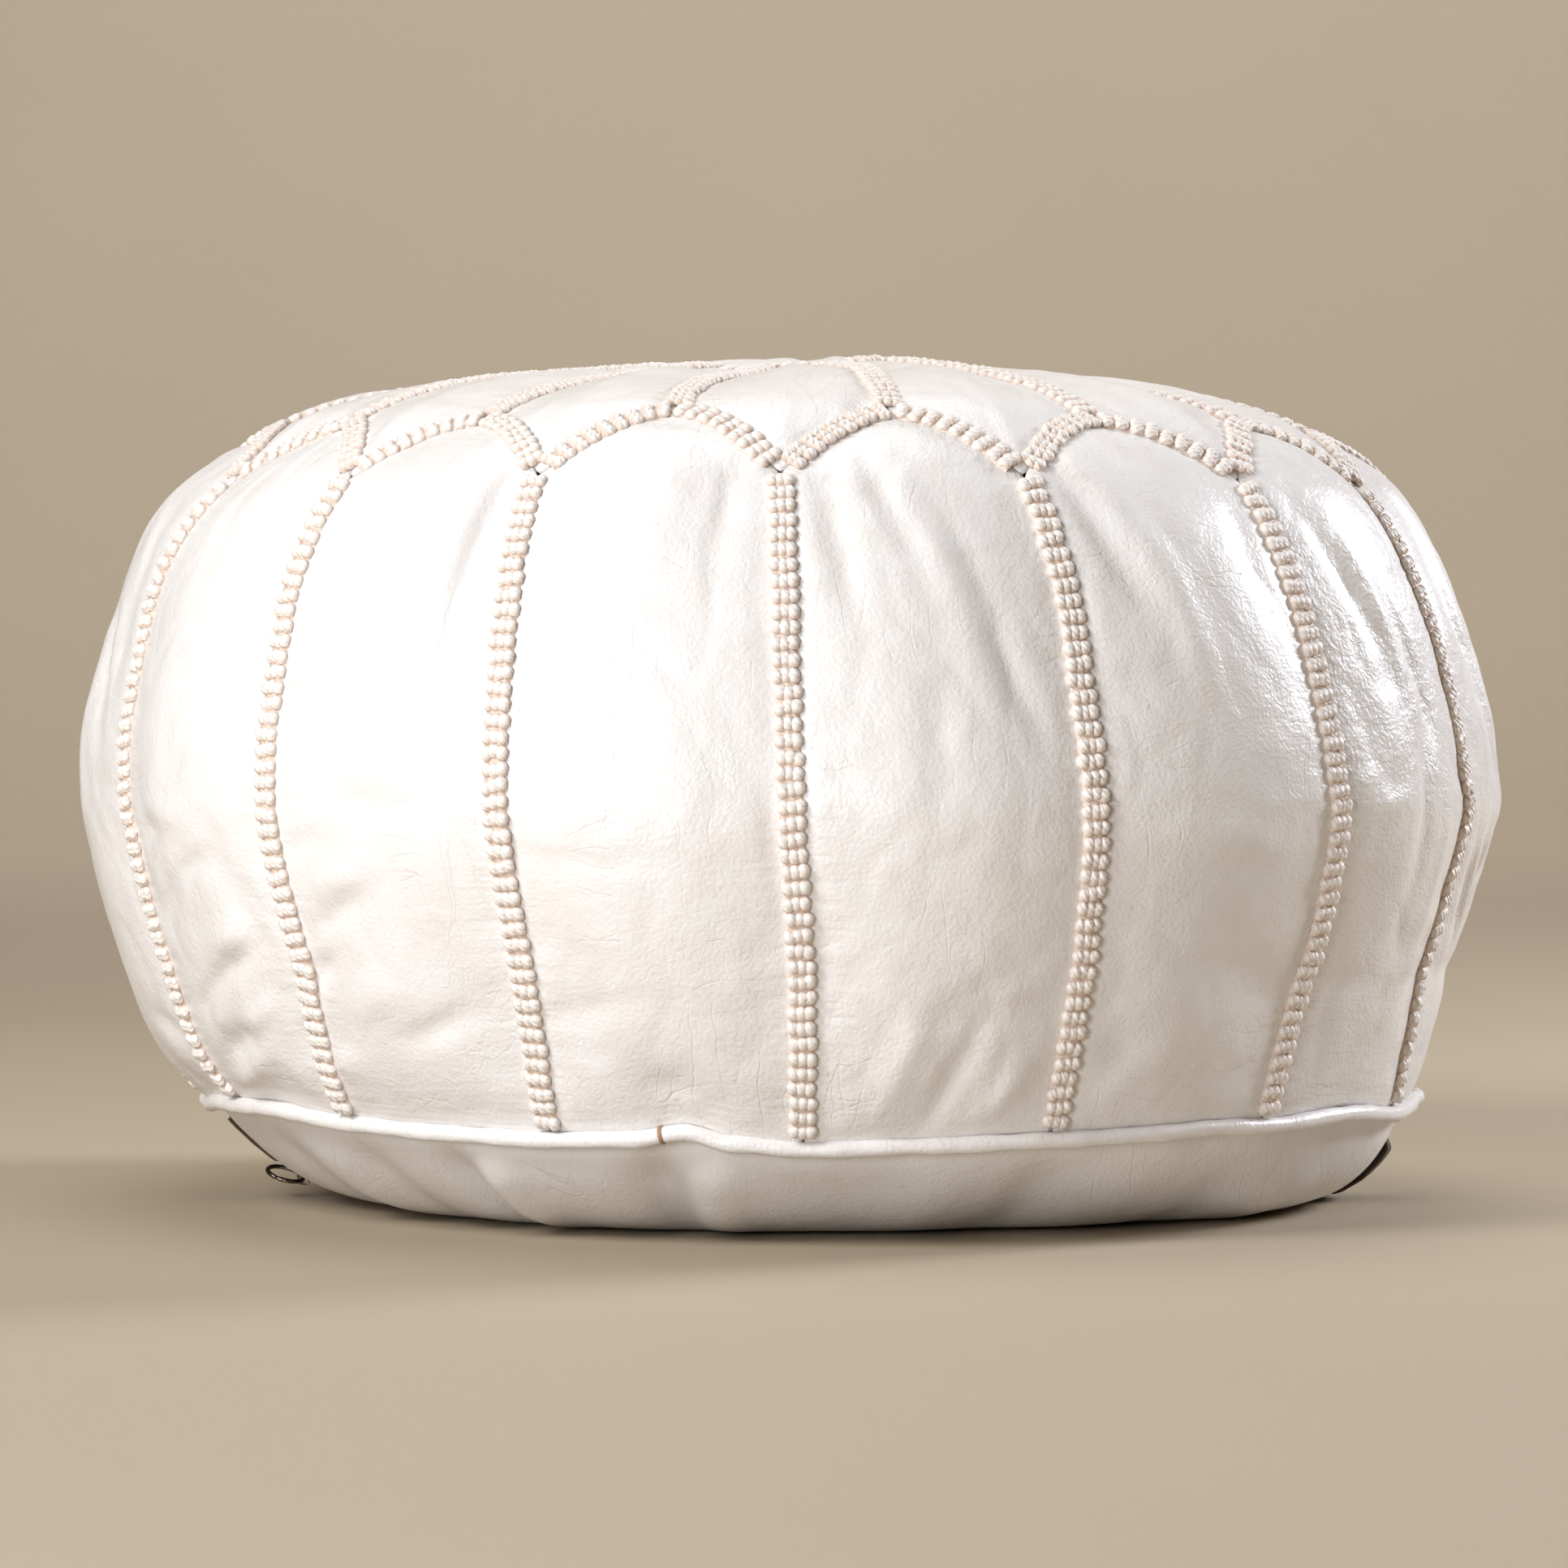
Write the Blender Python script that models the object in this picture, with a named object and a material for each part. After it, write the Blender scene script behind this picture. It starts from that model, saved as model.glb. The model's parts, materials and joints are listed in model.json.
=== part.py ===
"""Moroccan leather pouf: sixteen arched side panels and sixteen crown petals round a medallion,
hand-braided seams, a piped base that opens with a straight zip, and a stuffed cotton inner bag.

Metres, +Z up. The origin is on the floor under the crown. The zip runs along X, and a side seam
faces -Y. Every leather piece lies on one outline, turned about Z: a point of it is given by an
angle and by its distance along the leather from the piping ring towards the crown.
"""

import math

import bmesh
import bpy
from mathutils import Matrix, Vector

# Whole pouf
POUF_RADIUS = 0.275
POUF_HEIGHT = 0.326
EQUATOR_HEIGHT = 0.158
PANEL_COUNT = 16
LEATHER_THICKNESS = 0.002
SEAM_GAP = 0.0008
PANEL_BULGE = 0.005
PETAL_BULGE = 0.003

# Outline above the equator: shares of the radius and of the height left above the equator
UPPER_OUTLINE = (
    (1.0, 0.0),
    (0.985, 0.17),
    (0.942, 0.44),
    (0.902, 0.60),
    (0.847, 0.72),
    (0.757, 0.83),
    (0.62, 0.905),
    (0.42, 0.962),
    (0.2, 0.992),
    (0.0, 1.0),
)
LOWER_SIDE_POWER = 1.4
OUTLINE_STEPS = 24

# Seams of the cover
SIDE_SEAM_LENGTH = 0.246
ARCH_RISE = 0.037
ARCH_POWER = 1.7
MEDALLION_RADIUS = 0.062

# Braids over the seams
BRAID_WIDTH = 0.0095
BRAID_HEIGHT = 0.003
BRAID_CLEARANCE = 0.0009

# Piping between the side panels and the base
PIPING_RING_RADIUS = 0.236
PIPING_HEIGHT = 0.041
PIPING_TUBE_RADIUS = 0.0032
PIPING_WALL = 0.001
PIPING_PROUD = 0.0015
PIPING_JOINT_GAP = 0.0012
PIPING_JOINT_ANGLE = math.radians(-104)
PIPING_CLEARANCE = 0.0014
PIPING_SEGMENTS = 48
PIPING_SIDES = 6

# Base
BASE_FLAT_RADIUS = 0.140
BASE_CURVE_POWER = 2.6
BASE_COLUMNS = 26
BASE_GROOVE_ROWS = 4
BASE_OUTER_ROWS = 4
BASE_GROOVE_SHARE = 0.5
GROOVE_MARGIN = 0.003
GROOVE_SLOPE = 0.016

# Zip
ZIP_EDGE_HALF = 0.008
ZIP_END_MARGIN = 0.0105
TAPE_OUTER = 0.015
TAPE_END_MARGIN = 0.016
TAPE_THICKNESS = 0.0008
COIL_GAP = 0.0024
COIL_SIZE = 0.0022
STOP_LENGTH = 0.0025
SLIDER_LENGTH = 0.012
SLIDER_PLATE = 0.0014
SLIDER_LIP = 0.001
BAIL_WIDTH = 0.0022
BAIL_BAR = 0.001
BAIL_PLAY = 0.0008
BAIL_FLOOR_GAP = 0.004
RING_RADIUS = 0.0071
RING_WIRE = 0.0009
RING_SIDES = 8
RING_SEGMENTS = 24
RING_TILT = math.radians(16)
RING_TWIST = math.radians(14)
RUNNING_GAP = 0.0005
PIECE_GAP = 0.0003

# Inside
BAG_INSET = 0.009
BAG_FLOOR_CLEARANCE = 0.003
BAG_WALL = 0.001
BAG_MOUTH_RADIUS = 0.030
STUFFING_GAP = 0.001
TURNED_SEGMENTS = 24

# Colour, roughness and metallic value of each material
WHITE_LEATHER = ("white_leather", (0.84, 0.81, 0.78), 0.38, 0.0)
THREAD = ("braid_thread", (0.78, 0.68, 0.60), 0.55, 0.0)
BROWN_TAPE = ("brown_tape", (0.09, 0.045, 0.02), 0.85, 0.0)
DARK_METAL = ("dark_metal", (0.16, 0.13, 0.11), 0.3, 1.0)
COTTON = ("cotton", (0.80, 0.76, 0.68), 0.9, 0.0)
FILLING = ("filling", (0.88, 0.87, 0.84), 1.0, 0.0)

PANEL_ANGLE = 2 * math.pi / PANEL_COUNT
FIRST_SEAM_ANGLE = -math.pi / 2
PANEL_COLUMNS = (-1.0, -0.7, -0.35, 0.0, 0.35, 0.7, 1.0)
# A petal's columns end where the arches below it have theirs
PETAL_COLUMNS = sorted({way * (1 - abs(share)) for share in PANEL_COLUMNS for way in (-1, 1)})
SIDE_ROWS = 8
PETAL_ROWS = 7


# ---------------------------------------------------------------- outline


def smooth_curve(points, steps):
    """A Catmull-Rom curve through 2-D points, with that many steps between each two."""
    first = 2 * Vector(points[0]) - Vector(points[1])
    last = 2 * Vector(points[-1]) - Vector(points[-2])
    line = [first, *[Vector(p) for p in points], last]
    curve = []
    for a, b, c, d in zip(line, line[1:], line[2:], line[3:]):
        for i in range(steps):
            t = i / steps
            tangents = (c - a) * t + (2 * a - 5 * b + 4 * c - d) * t**2
            curve.append(b + 0.5 * (tangents + (3 * b - a - 3 * c + d) * t**3))
    curve.append(Vector(points[-1]))
    return curve


def side_below_equator(steps):
    """(radius, height) from the piping ring up to just below the equator."""
    drop = EQUATOR_HEIGHT - PIPING_HEIGHT
    inset = POUF_RADIUS - PIPING_RING_RADIUS
    shares = [1 - i / steps for i in range(steps)]
    return [
        Vector((POUF_RADIUS - inset * t**LOWER_SIDE_POWER, EQUATOR_HEIGHT - drop * t))
        for t in shares
    ]


def body_outline():
    rise = POUF_HEIGHT - EQUATOR_HEIGHT
    upper = [
        (radius * POUF_RADIUS, EQUATOR_HEIGHT + height * rise)
        for radius, height in UPPER_OUTLINE
    ]
    return side_below_equator(OUTLINE_STEPS) + smooth_curve(upper, OUTLINE_STEPS)


OUTLINE = body_outline()
ALONG = [0.0]
for before, after in zip(OUTLINE, OUTLINE[1:]):
    ALONG.append(ALONG[-1] + (after - before).length)


def outline_at(along):
    """The outline's point and outward normal at a distance along it from the piping ring."""
    along = min(max(along, 0.0), ALONG[-1])
    i = max(1, next(k for k, reached in enumerate(ALONG) if reached >= along - 1e-12))
    step = OUTLINE[i] - OUTLINE[i - 1]
    share = (along - ALONG[i - 1]) / step.length
    return OUTLINE[i - 1] + step * share, Vector((step.y, -step.x)).normalized()


def along_at_radius(radius):
    """The distance along the outline at which the crown has narrowed to a radius."""
    for i in range(len(OUTLINE) - 1, 0, -1):
        inner, outer = OUTLINE[i].x, OUTLINE[i - 1].x
        if outer >= radius:
            return ALONG[i] - (ALONG[i] - ALONG[i - 1]) * (radius - inner) / (outer - inner)
    raise ValueError("the crown is narrower than that radius everywhere")


def place(angle, along, lift=0.0):
    """A point of the cover, lifted that far off its outer face."""
    point, normal = outline_at(along)
    radius, height = point + normal * lift
    return Vector((radius * math.cos(angle), radius * math.sin(angle), height))


PANEL_START = PIPING_TUBE_RADIUS + PIPING_CLEARANCE
SEAM_TOP = PANEL_START + SIDE_SEAM_LENGTH
MEDALLION_EDGE = along_at_radius(MEDALLION_RADIUS)


def arch_along(share):
    """The arch between two side seams: 0 is the panel's middle, and 1 or -1 a seam."""
    return SEAM_TOP + ARCH_RISE * (1 - abs(share) ** ARCH_POWER)


# ---------------------------------------------------------------- mesh helpers


def material(name, colour, roughness, metallic):
    made = bpy.data.materials.get(name)
    if made is None:
        made = bpy.data.materials.new(name)
        made.use_nodes = True
        shader = made.node_tree.nodes["Principled BSDF"]
        shader.inputs["Base Color"].default_value = (*colour, 1.0)
        shader.inputs["Roughness"].default_value = roughness
        shader.inputs["Metallic"].default_value = metallic
    return made


def add_object(name, mesh, finish, parent=None):
    made = bpy.data.objects.new(name, mesh)
    mesh.materials.append(material(*finish))
    bpy.context.scene.collection.objects.link(made)
    made.parent = parent
    return made


def to_mesh(name, shape):
    mesh = bpy.data.meshes.new(name)
    shape.to_mesh(mesh)
    shape.free()
    mesh.shade_smooth()
    mesh.set_sharp_from_angle(angle=math.radians(35))
    return mesh


def face_outwards(shape, centre):
    """Turns each face of an open sheet so that it looks away from a point inside the pouf."""
    shape.normal_update()
    for face in shape.faces:
        if face.normal.dot(face.calc_center_median() - centre) < 0:
            face.normal_flip()
    shape.normal_update()


def grid_sheet(rows):
    """A sheet through rows of points; rows may share points at their ends."""
    shape = bmesh.new()
    verts = [[shape.verts.new(point) for point in row] for row in rows]
    for lower, upper in zip(verts, verts[1:]):
        for a, b, c, d in zip(lower, lower[1:], upper[1:], upper):
            shape.faces.new((a, b, c, d))
    bmesh.ops.remove_doubles(shape, verts=shape.verts, dist=1e-5)
    return shape


def thicken(made, thickness, offset=-1.0):
    """A Solidify modifier: offset -1 grows against the normals and 1 along them."""
    wall = made.modifiers.new("wall", "SOLIDIFY")
    wall.thickness = thickness
    wall.offset = offset
    wall.use_even_offset = True
    return made


def box(name, low, high, finish, parent=None, bevel=0.0):
    """A block between two corners, with all its edges bevelled."""
    shape = bmesh.new()
    bmesh.ops.create_cube(shape, size=1.0)
    size = Vector(high) - Vector(low)
    bmesh.ops.scale(shape, vec=size, verts=shape.verts)
    bmesh.ops.translate(shape, vec=(Vector(low) + Vector(high)) / 2, verts=shape.verts)
    if bevel:
        bmesh.ops.bevel(shape, geom=shape.edges, offset=bevel, segments=1, affect="EDGES")
    return add_object(name, to_mesh(name, shape), finish, parent)


def extruded(name, outline, axis, thickness, finish, parent=None):
    """A flat outline of 3-D points, extruded evenly to both sides along an axis."""
    shape = bmesh.new()
    half = Vector(axis) * thickness / 2
    face = shape.faces.new([shape.verts.new(Vector(p) - half) for p in outline])
    grown = bmesh.ops.extrude_face_region(shape, geom=[face])["geom"]
    moved = [v for v in grown if isinstance(v, bmesh.types.BMVert)]
    bmesh.ops.translate(shape, vec=half * 2, verts=moved)
    bmesh.ops.recalc_face_normals(shape, faces=shape.faces)
    return add_object(name, to_mesh(name, shape), finish, parent)


# ---------------------------------------------------------------- leather of the cover


INSIDE = Vector((0.0, 0.0, EQUATOR_HEIGHT))


def trimmed_angle(angle, along, side):
    """An edge angle drawn back from its seam by half of the seam gap. Side is -1, 0 or 1."""
    radius = max(outline_at(along)[0].x, MEDALLION_RADIUS)
    return angle - side * SEAM_GAP / 2 / radius


def panel_rows(middle, columns, low_edge, high_edge, row_count, bulge, depth):
    """Rows of points between two edges, at a depth under the outer face.

    The edges are functions of the share across the panel, from -1 to 1.
    """
    rows = []
    for i in range(row_count):
        up = i / (row_count - 1)
        row = []
        for share in columns:
            along = low_edge(share) + (high_edge(share) - low_edge(share)) * up
            side = math.copysign(1, share) if abs(share) == 1 else 0
            angle = trimmed_angle(middle + share * PANEL_ANGLE / 2, along, side)
            lift = bulge * (1 - share**2) ** 2 * math.sin(math.pi * up)
            row.append(place(angle, along, lift - depth))
        rows.append(row)
    return rows


def closed_wall(outer, inner):
    """The wall between two grids of points, closed round its rim."""
    shape = bmesh.new()
    rims = []
    for rows in (outer, inner):
        verts = [[shape.verts.new(point) for point in row] for row in rows]
        for lower, upper in zip(verts, verts[1:]):
            for a, b, c, d in zip(lower, lower[1:], upper[1:], upper):
                shape.faces.new((a, b, c, d))
        right = [row[-1] for row in verts[1:-1]]
        left = [row[0] for row in verts[-2:0:-1]]
        rims.append([*verts[0], *right, *reversed(verts[-1]), *left])
    one, other = rims
    for a, b, c, d in zip(one, one[1:] + one[:1], other[1:] + other[:1], other):
        shape.faces.new((a, b, c, d))
    bmesh.ops.recalc_face_normals(shape, faces=shape.faces)
    return shape


def leather_panel(name, *layout):
    shape = closed_wall(panel_rows(*layout, 0.0), panel_rows(*layout, LEATHER_THICKNESS))
    return add_object(name, to_mesh(name, shape), WHITE_LEATHER)


def side_panels():
    for i in range(PANEL_COUNT):
        leather_panel(
            f"side_panel_{i + 1:02d}",
            FIRST_SEAM_ANGLE + (i + 0.5) * PANEL_ANGLE,
            PANEL_COLUMNS,
            lambda share: PANEL_START,
            lambda share: arch_along(share) - SEAM_GAP / 2,
            SIDE_ROWS,
            PANEL_BULGE,
        )


PETAL_TOP = MEDALLION_EDGE - SEAM_GAP / 2


def petal_foot(share):
    return arch_along(1 - abs(share)) + SEAM_GAP / 2


def crown_petals():
    """Each petal stands on the fork of a side seam and reaches in to the medallion."""
    for i in range(PANEL_COUNT):
        leather_panel(
            f"crown_petal_{i + 1:02d}",
            FIRST_SEAM_ANGLE + i * PANEL_ANGLE,
            PETAL_COLUMNS,
            petal_foot,
            lambda share: PETAL_TOP,
            PETAL_ROWS,
            PETAL_BULGE,
        )


def crown_medallion():
    shape = bmesh.new()
    edge = MEDALLION_EDGE + SEAM_GAP / 2
    top = ALONG[-1]
    rings = (edge, edge + (top - edge) * 0.5)
    ring_verts = []
    for along in rings:
        angles = [2 * math.pi * k / TURNED_SEGMENTS for k in range(TURNED_SEGMENTS)]
        ring_verts.append([shape.verts.new(place(a, along)) for a in angles])
    centre = shape.verts.new((0.0, 0.0, POUF_HEIGHT))
    outer, inner = ring_verts
    for k in range(TURNED_SEGMENTS):
        n = (k + 1) % TURNED_SEGMENTS
        shape.faces.new((outer[k], outer[n], inner[n], inner[k]))
        shape.faces.new((inner[k], inner[n], centre))
    face_outwards(shape, INSIDE)
    made = add_object("crown_medallion", to_mesh("crown_medallion", shape), WHITE_LEATHER)
    thicken(made, LEATHER_THICKNESS)


# ---------------------------------------------------------------- braids


def mitre(one, other):
    """The corner between two strips, from their unit normals towards it."""
    return (one + other) / (1 + one.dot(other))


class BraidNet:
    """A net of flat strips on the cover that join at three-way knots, built as one sheet."""

    def __init__(self):
        self.shape = bmesh.new()

    def vert(self, angle, along, offset):
        """A vertex at a 2-D offset, in metres round and along the cover, from a point of it."""
        radius = outline_at(along + offset.y)[0].x
        turned = angle + offset.x / radius
        return self.shape.verts.new(place(turned, along + offset.y, BRAID_CLEARANCE))

    def knot(self, angle, along, directions):
        """The corners of a knot whose strips leave in these directions, anticlockwise.

        Returns, for each strip, its (left, right) corner as seen looking out along it.
        """
        half = BRAID_WIDTH / 2
        units = [Vector(d).normalized() for d in directions]
        corners = []
        for one, after in zip(units, units[1:] + units[:1]):
            left = Vector((-one.y, one.x))
            right = Vector((after.y, -after.x))
            corners.append(self.vert(angle, along, mitre(left, right) * half))
        self.shape.faces.new(corners)
        return [(corners[i], corners[i - 1]) for i in range(len(corners))]

    def strip(self, start, stations, end):
        """Quads from one knot's (left, right) corners, by stations, to another's."""
        half = BRAID_WIDTH / 2
        pairs = [start]
        for angle, along, direction in stations:
            unit = Vector(direction).normalized()
            left = Vector((-unit.y, unit.x)) * half
            pairs.append((self.vert(angle, along, left), self.vert(angle, along, -left)))
        if end is not None:
            pairs.append((end[1], end[0]))
        for (a, b), (c, d) in zip(pairs, pairs[1:]):
            self.shape.faces.new((b, d, c, a))

    def finish(self, name):
        face_outwards(self.shape, INSIDE)
        made = add_object(name, to_mesh(name, self.shape), THREAD)
        return thicken(made, BRAID_HEIGHT, offset=1.0)


def arch_direction(share):
    """The way that the arch runs at a share across its panel, with growing angle."""
    half_width = outline_at(SEAM_TOP)[0].x * PANEL_ANGLE / 2
    slope = -ARCH_RISE * ARCH_POWER * abs(share) ** (ARCH_POWER - 1)
    return Vector((half_width, slope * math.copysign(1, share)))


def side_braid():
    """Sixteen side seams that fork into the arches: one continuous net."""
    net = BraidNet()
    half = BRAID_WIDTH / 2
    rise = arch_direction(-1)
    forks = []
    apexes = []
    for i in range(PANEL_COUNT):
        seam = FIRST_SEAM_ANGLE + i * PANEL_ANGLE
        apex = seam + PANEL_ANGLE / 2
        forks.append(net.knot(seam, SEAM_TOP, ((0, -1), rise, (-rise.x, rise.y))))
        sides = (Vector((0, half)), Vector((0, -half)))
        apexes.append([net.vert(apex, arch_along(0), side) for side in sides])
    spacing = (SEAM_TOP - PANEL_START) / (SIDE_ROWS - 1)
    climbing = [share for share in PANEL_COLUMNS if -1 < share < 0]
    falling = [share for share in PANEL_COLUMNS if 0 < share < 1]
    for i in range(PANEL_COUNT):
        seam = FIRST_SEAM_ANGLE + i * PANEL_ANGLE
        middle = seam + PANEL_ANGLE / 2

        def arch_stations(shares):
            return [
                (middle + share * PANEL_ANGLE / 2, arch_along(share), arch_direction(share))
                for share in shares
            ]

        rows = range(SIDE_ROWS - 2, -1, -1)
        foot = [(seam, PANEL_START + row * spacing, (0, -1)) for row in rows]
        upper, lower = apexes[i]
        net.strip(forks[i][0], foot, None)
        net.strip(forks[i][1], arch_stations(climbing), (lower, upper))
        net.strip((upper, lower), arch_stations(falling), forks[(i + 1) % PANEL_COUNT][2])
    net.finish("side_seam_braid")


def crown_braid():
    """Sixteen spokes from the arches to the ring round the medallion."""
    net = BraidNet()
    ring = []
    for i in range(PANEL_COUNT):
        angle = FIRST_SEAM_ANGLE + (i + 0.5) * PANEL_ANGLE
        ring.append(net.knot(angle, MEDALLION_EDGE, ((0, -1), (1, 0), (-1, 0))))
    start = arch_along(0) + BRAID_WIDTH / 2 + PIECE_GAP
    spacing = (PETAL_TOP - petal_foot(1)) / (PETAL_ROWS - 1)
    rows = [petal_foot(1) + row * spacing for row in range(PETAL_ROWS - 1)]
    ring_half = BRAID_WIDTH / 2
    stops = [start, *[along for along in rows if start < along < MEDALLION_EDGE - ring_half]]
    for i in range(PANEL_COUNT):
        angle = FIRST_SEAM_ANGLE + (i + 0.5) * PANEL_ANGLE
        spoke = [(angle, along, (0, -1)) for along in reversed(stops)]
        net.strip(ring[i][0], spoke, None)
        halfway = [(angle + PANEL_ANGLE / 2, MEDALLION_EDGE, (1, 0))]
        net.strip(ring[i][1], halfway, ring[(i + 1) % PANEL_COUNT][2])
    net.finish("crown_braid")


# ---------------------------------------------------------------- piping


def spun_ring(name, outer, inner, finish):
    """A round bar, or a tube if inner isn't 0, swept round the piping ring with one open joint."""
    shape = bmesh.new()
    centre = Vector((PIPING_RING_RADIUS + PIPING_PROUD, 0.0, PIPING_HEIGHT))

    def section_loop(radius):
        angles = [2 * math.pi * k / PIPING_SIDES for k in range(PIPING_SIDES)]
        offsets = [Vector((math.cos(a), 0.0, math.sin(a))) * radius for a in angles]
        return [shape.verts.new(centre + offset) for offset in offsets]

    rim = section_loop(outer)
    if inner:
        hollow = section_loop(inner)
        for k in range(PIPING_SIDES):
            n = (k + 1) % PIPING_SIDES
            shape.faces.new((rim[k], rim[n], hollow[n], hollow[k]))
    else:
        shape.faces.new(rim)
    gap_angle = PIPING_JOINT_GAP / PIPING_RING_RADIUS
    turn = Matrix.Rotation(PIPING_JOINT_ANGLE + gap_angle / 2, 3, "Z")
    bmesh.ops.rotate(shape, cent=(0, 0, 0), matrix=turn, verts=shape.verts)
    bmesh.ops.spin(
        shape,
        geom=[*shape.verts, *shape.edges, *shape.faces],
        cent=(0, 0, 0),
        axis=(0, 0, 1),
        angle=2 * math.pi - gap_angle,
        steps=PIPING_SEGMENTS,
    )
    bmesh.ops.recalc_face_normals(shape, faces=shape.faces)
    return add_object(name, to_mesh(name, shape), finish)


def piping():
    bore = PIPING_TUBE_RADIUS - PIPING_WALL
    spun_ring("piping_cover", PIPING_TUBE_RADIUS, bore, WHITE_LEATHER)
    spun_ring("piping_cord", bore - PIECE_GAP, 0.0, COTTON)


# ---------------------------------------------------------------- levels of the zip


def ring_rise():
    """How far the tilted and twisted ring's centre line reaches above its hinge."""
    level = math.sin(RING_TILT)
    across = math.sin(RING_TWIST) * math.cos(RING_TILT)
    return RING_RADIUS * (level + math.hypot(level, across))


# From the floor up: bail, slider's outer plate, coils, tape and slider's inner plate
RING_BELOW_COIL = ring_rise() + RING_WIRE + RUNNING_GAP
BAIL_HOLE_BOTTOM = BAIL_FLOOR_GAP + BAIL_BAR
RING_HINGE_Z = BAIL_HOLE_BOTTOM + RING_WIRE + RUNNING_GAP
COIL_BOTTOM = RING_HINGE_Z + RING_BELOW_COIL
COIL_TOP = COIL_BOTTOM + COIL_SIZE
TAPE_BOTTOM = COIL_TOP + PIECE_GAP
TAPE_TOP = TAPE_BOTTOM + TAPE_THICKNESS
GROOVE_HEIGHT = TAPE_TOP + PIECE_GAP
GROOVE_FLAT_HALF = TAPE_OUTER + GROOVE_MARGIN
SLIDER_FACE = COIL_BOTTOM - RUNNING_GAP - SLIDER_PLATE
SLIDER_TOP = TAPE_TOP + RUNNING_GAP + SLIDER_PLATE
COIL_OUTER = COIL_GAP / 2 + COIL_SIZE
BASE_CURVE_SPAN = PIPING_RING_RADIUS - BASE_FLAT_RADIUS
GROOVE_END = BASE_FLAT_RADIUS + BASE_CURVE_SPAN * (GROOVE_HEIGHT / PIPING_HEIGHT) ** (
    1 / BASE_CURVE_POWER
)
SLIDER_END = GROOVE_END - ZIP_END_MARGIN
TAPE_TAIL_END = PIPING_RING_RADIUS - TAPE_END_MARGIN
RING_HINGE_X = -SLIDER_END + BAIL_BAR + RING_WIRE + RUNNING_GAP
BAG_FLOOR = max(SLIDER_TOP, GROOVE_HEIGHT + LEATHER_THICKNESS) + BAG_FLOOR_CLEARANCE


# ---------------------------------------------------------------- base


def turned_base_height(radius):
    """Height of the base's outer face: flat on the floor, then curving up to the piping."""
    if radius <= BASE_FLAT_RADIUS:
        return 0.0
    share = (radius - BASE_FLAT_RADIUS) / BASE_CURVE_SPAN
    return PIPING_HEIGHT * share**BASE_CURVE_POWER


def groove_height(across):
    """Height of the shallow valley that the zip lies in, at a distance from its middle."""
    share = (abs(across) - GROOVE_FLAT_HALF) / GROOVE_SLOPE
    share = min(max(share, 0.0), 1.0)
    return GROOVE_HEIGHT * (1 - share * share * (3 - 2 * share))


def base_height(x, y):
    return max(turned_base_height(math.hypot(x, y)), groove_height(y))


BASE_EDGE_RADIUS = PIPING_RING_RADIUS + PIPING_PROUD - PIPING_TUBE_RADIUS - PIPING_CLEARANCE


def base_columns():
    """X of the base's columns, closer together towards its two ends."""
    reach = math.sqrt(BASE_EDGE_RADIUS**2 - ZIP_EDGE_HALF**2)
    turns = [math.pi * k / BASE_COLUMNS for k in range(BASE_COLUMNS + 1)]
    return [-reach * math.cos(turn) for turn in turns]


def base_stations(x):
    """Distances from the zip's middle: over the groove's edge, then out to the rim."""
    edge = math.sqrt(max(BASE_EDGE_RADIUS**2 - x**2, ZIP_EDGE_HALF**2))
    room = edge - ZIP_EDGE_HALF
    stations = [ZIP_EDGE_HALF]
    for k in range(BASE_GROOVE_ROWS + 1):
        wanted = GROOVE_FLAT_HALF + GROOVE_SLOPE * k / BASE_GROOVE_ROWS - ZIP_EDGE_HALF
        most = room * BASE_GROOVE_SHARE * (k + 1) / (BASE_GROOVE_ROWS + 1)
        stations.append(ZIP_EDGE_HALF + min(wanted, most))
    rest = edge - stations[-1]
    last = stations[-1]
    return stations + [last + rest * (k + 1) / BASE_OUTER_ROWS for k in range(BASE_OUTER_ROWS)]


def base_half(name, side):
    """One half of the base, in front of the zip for side -1 and behind it for side 1."""
    columns = [
        [Vector((x, side * y, base_height(x, y))) for y in base_stations(x)]
        for x in base_columns()
    ]
    rows = list(zip(*columns))
    shape = grid_sheet(rows)
    face_outwards(shape, INSIDE)
    return thicken(add_object(name, to_mesh(name, shape), WHITE_LEATHER), LEATHER_THICKNESS)


# ---------------------------------------------------------------- zip


def zip_tape(name, side):
    """Half of the tape: straight in the groove, with tails that turn up over the rim."""
    stations = [x for x in base_columns() if abs(x) < TAPE_TAIL_END]
    stations = [-TAPE_TAIL_END, *stations, TAPE_TAIL_END]
    rows = []
    for y in (side * COIL_GAP / 2, side * TAPE_OUTER):
        rows.append([])
        for x in stations:
            height = base_height(x, y)
            room = PIECE_GAP if height == GROOVE_HEIGHT else 2 * PIECE_GAP
            rows[-1].append(Vector((x, y, height - room)))
    shape = grid_sheet(rows)
    face_outwards(shape, Vector((0.0, 0.0, -POUF_HEIGHT)))
    return thicken(add_object(name, to_mesh(name, shape), BROWN_TAPE), TAPE_THICKNESS)


def zip_coil(name, side):
    """A row of teeth, as the plain bar that it fills."""
    inner, outer = sorted((side * COIL_GAP / 2, side * COIL_OUTER))
    low = (-SLIDER_END, inner, COIL_BOTTOM)
    high = (SLIDER_END, outer, COIL_TOP)
    return box(name, low, high, BROWN_TAPE, bevel=COIL_SIZE / 5)


def zip_stop(name, side):
    """The metal clip that ends the zip, just past the slider's travel."""
    near = SLIDER_END + PIECE_GAP
    ends = sorted((side * near, side * (near + STOP_LENGTH)))
    low = (ends[0], -COIL_OUTER, COIL_BOTTOM)
    high = (ends[1], COIL_OUTER, COIL_TOP)
    return box(name, low, high, DARK_METAL, bevel=COIL_SIZE / 6)


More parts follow.
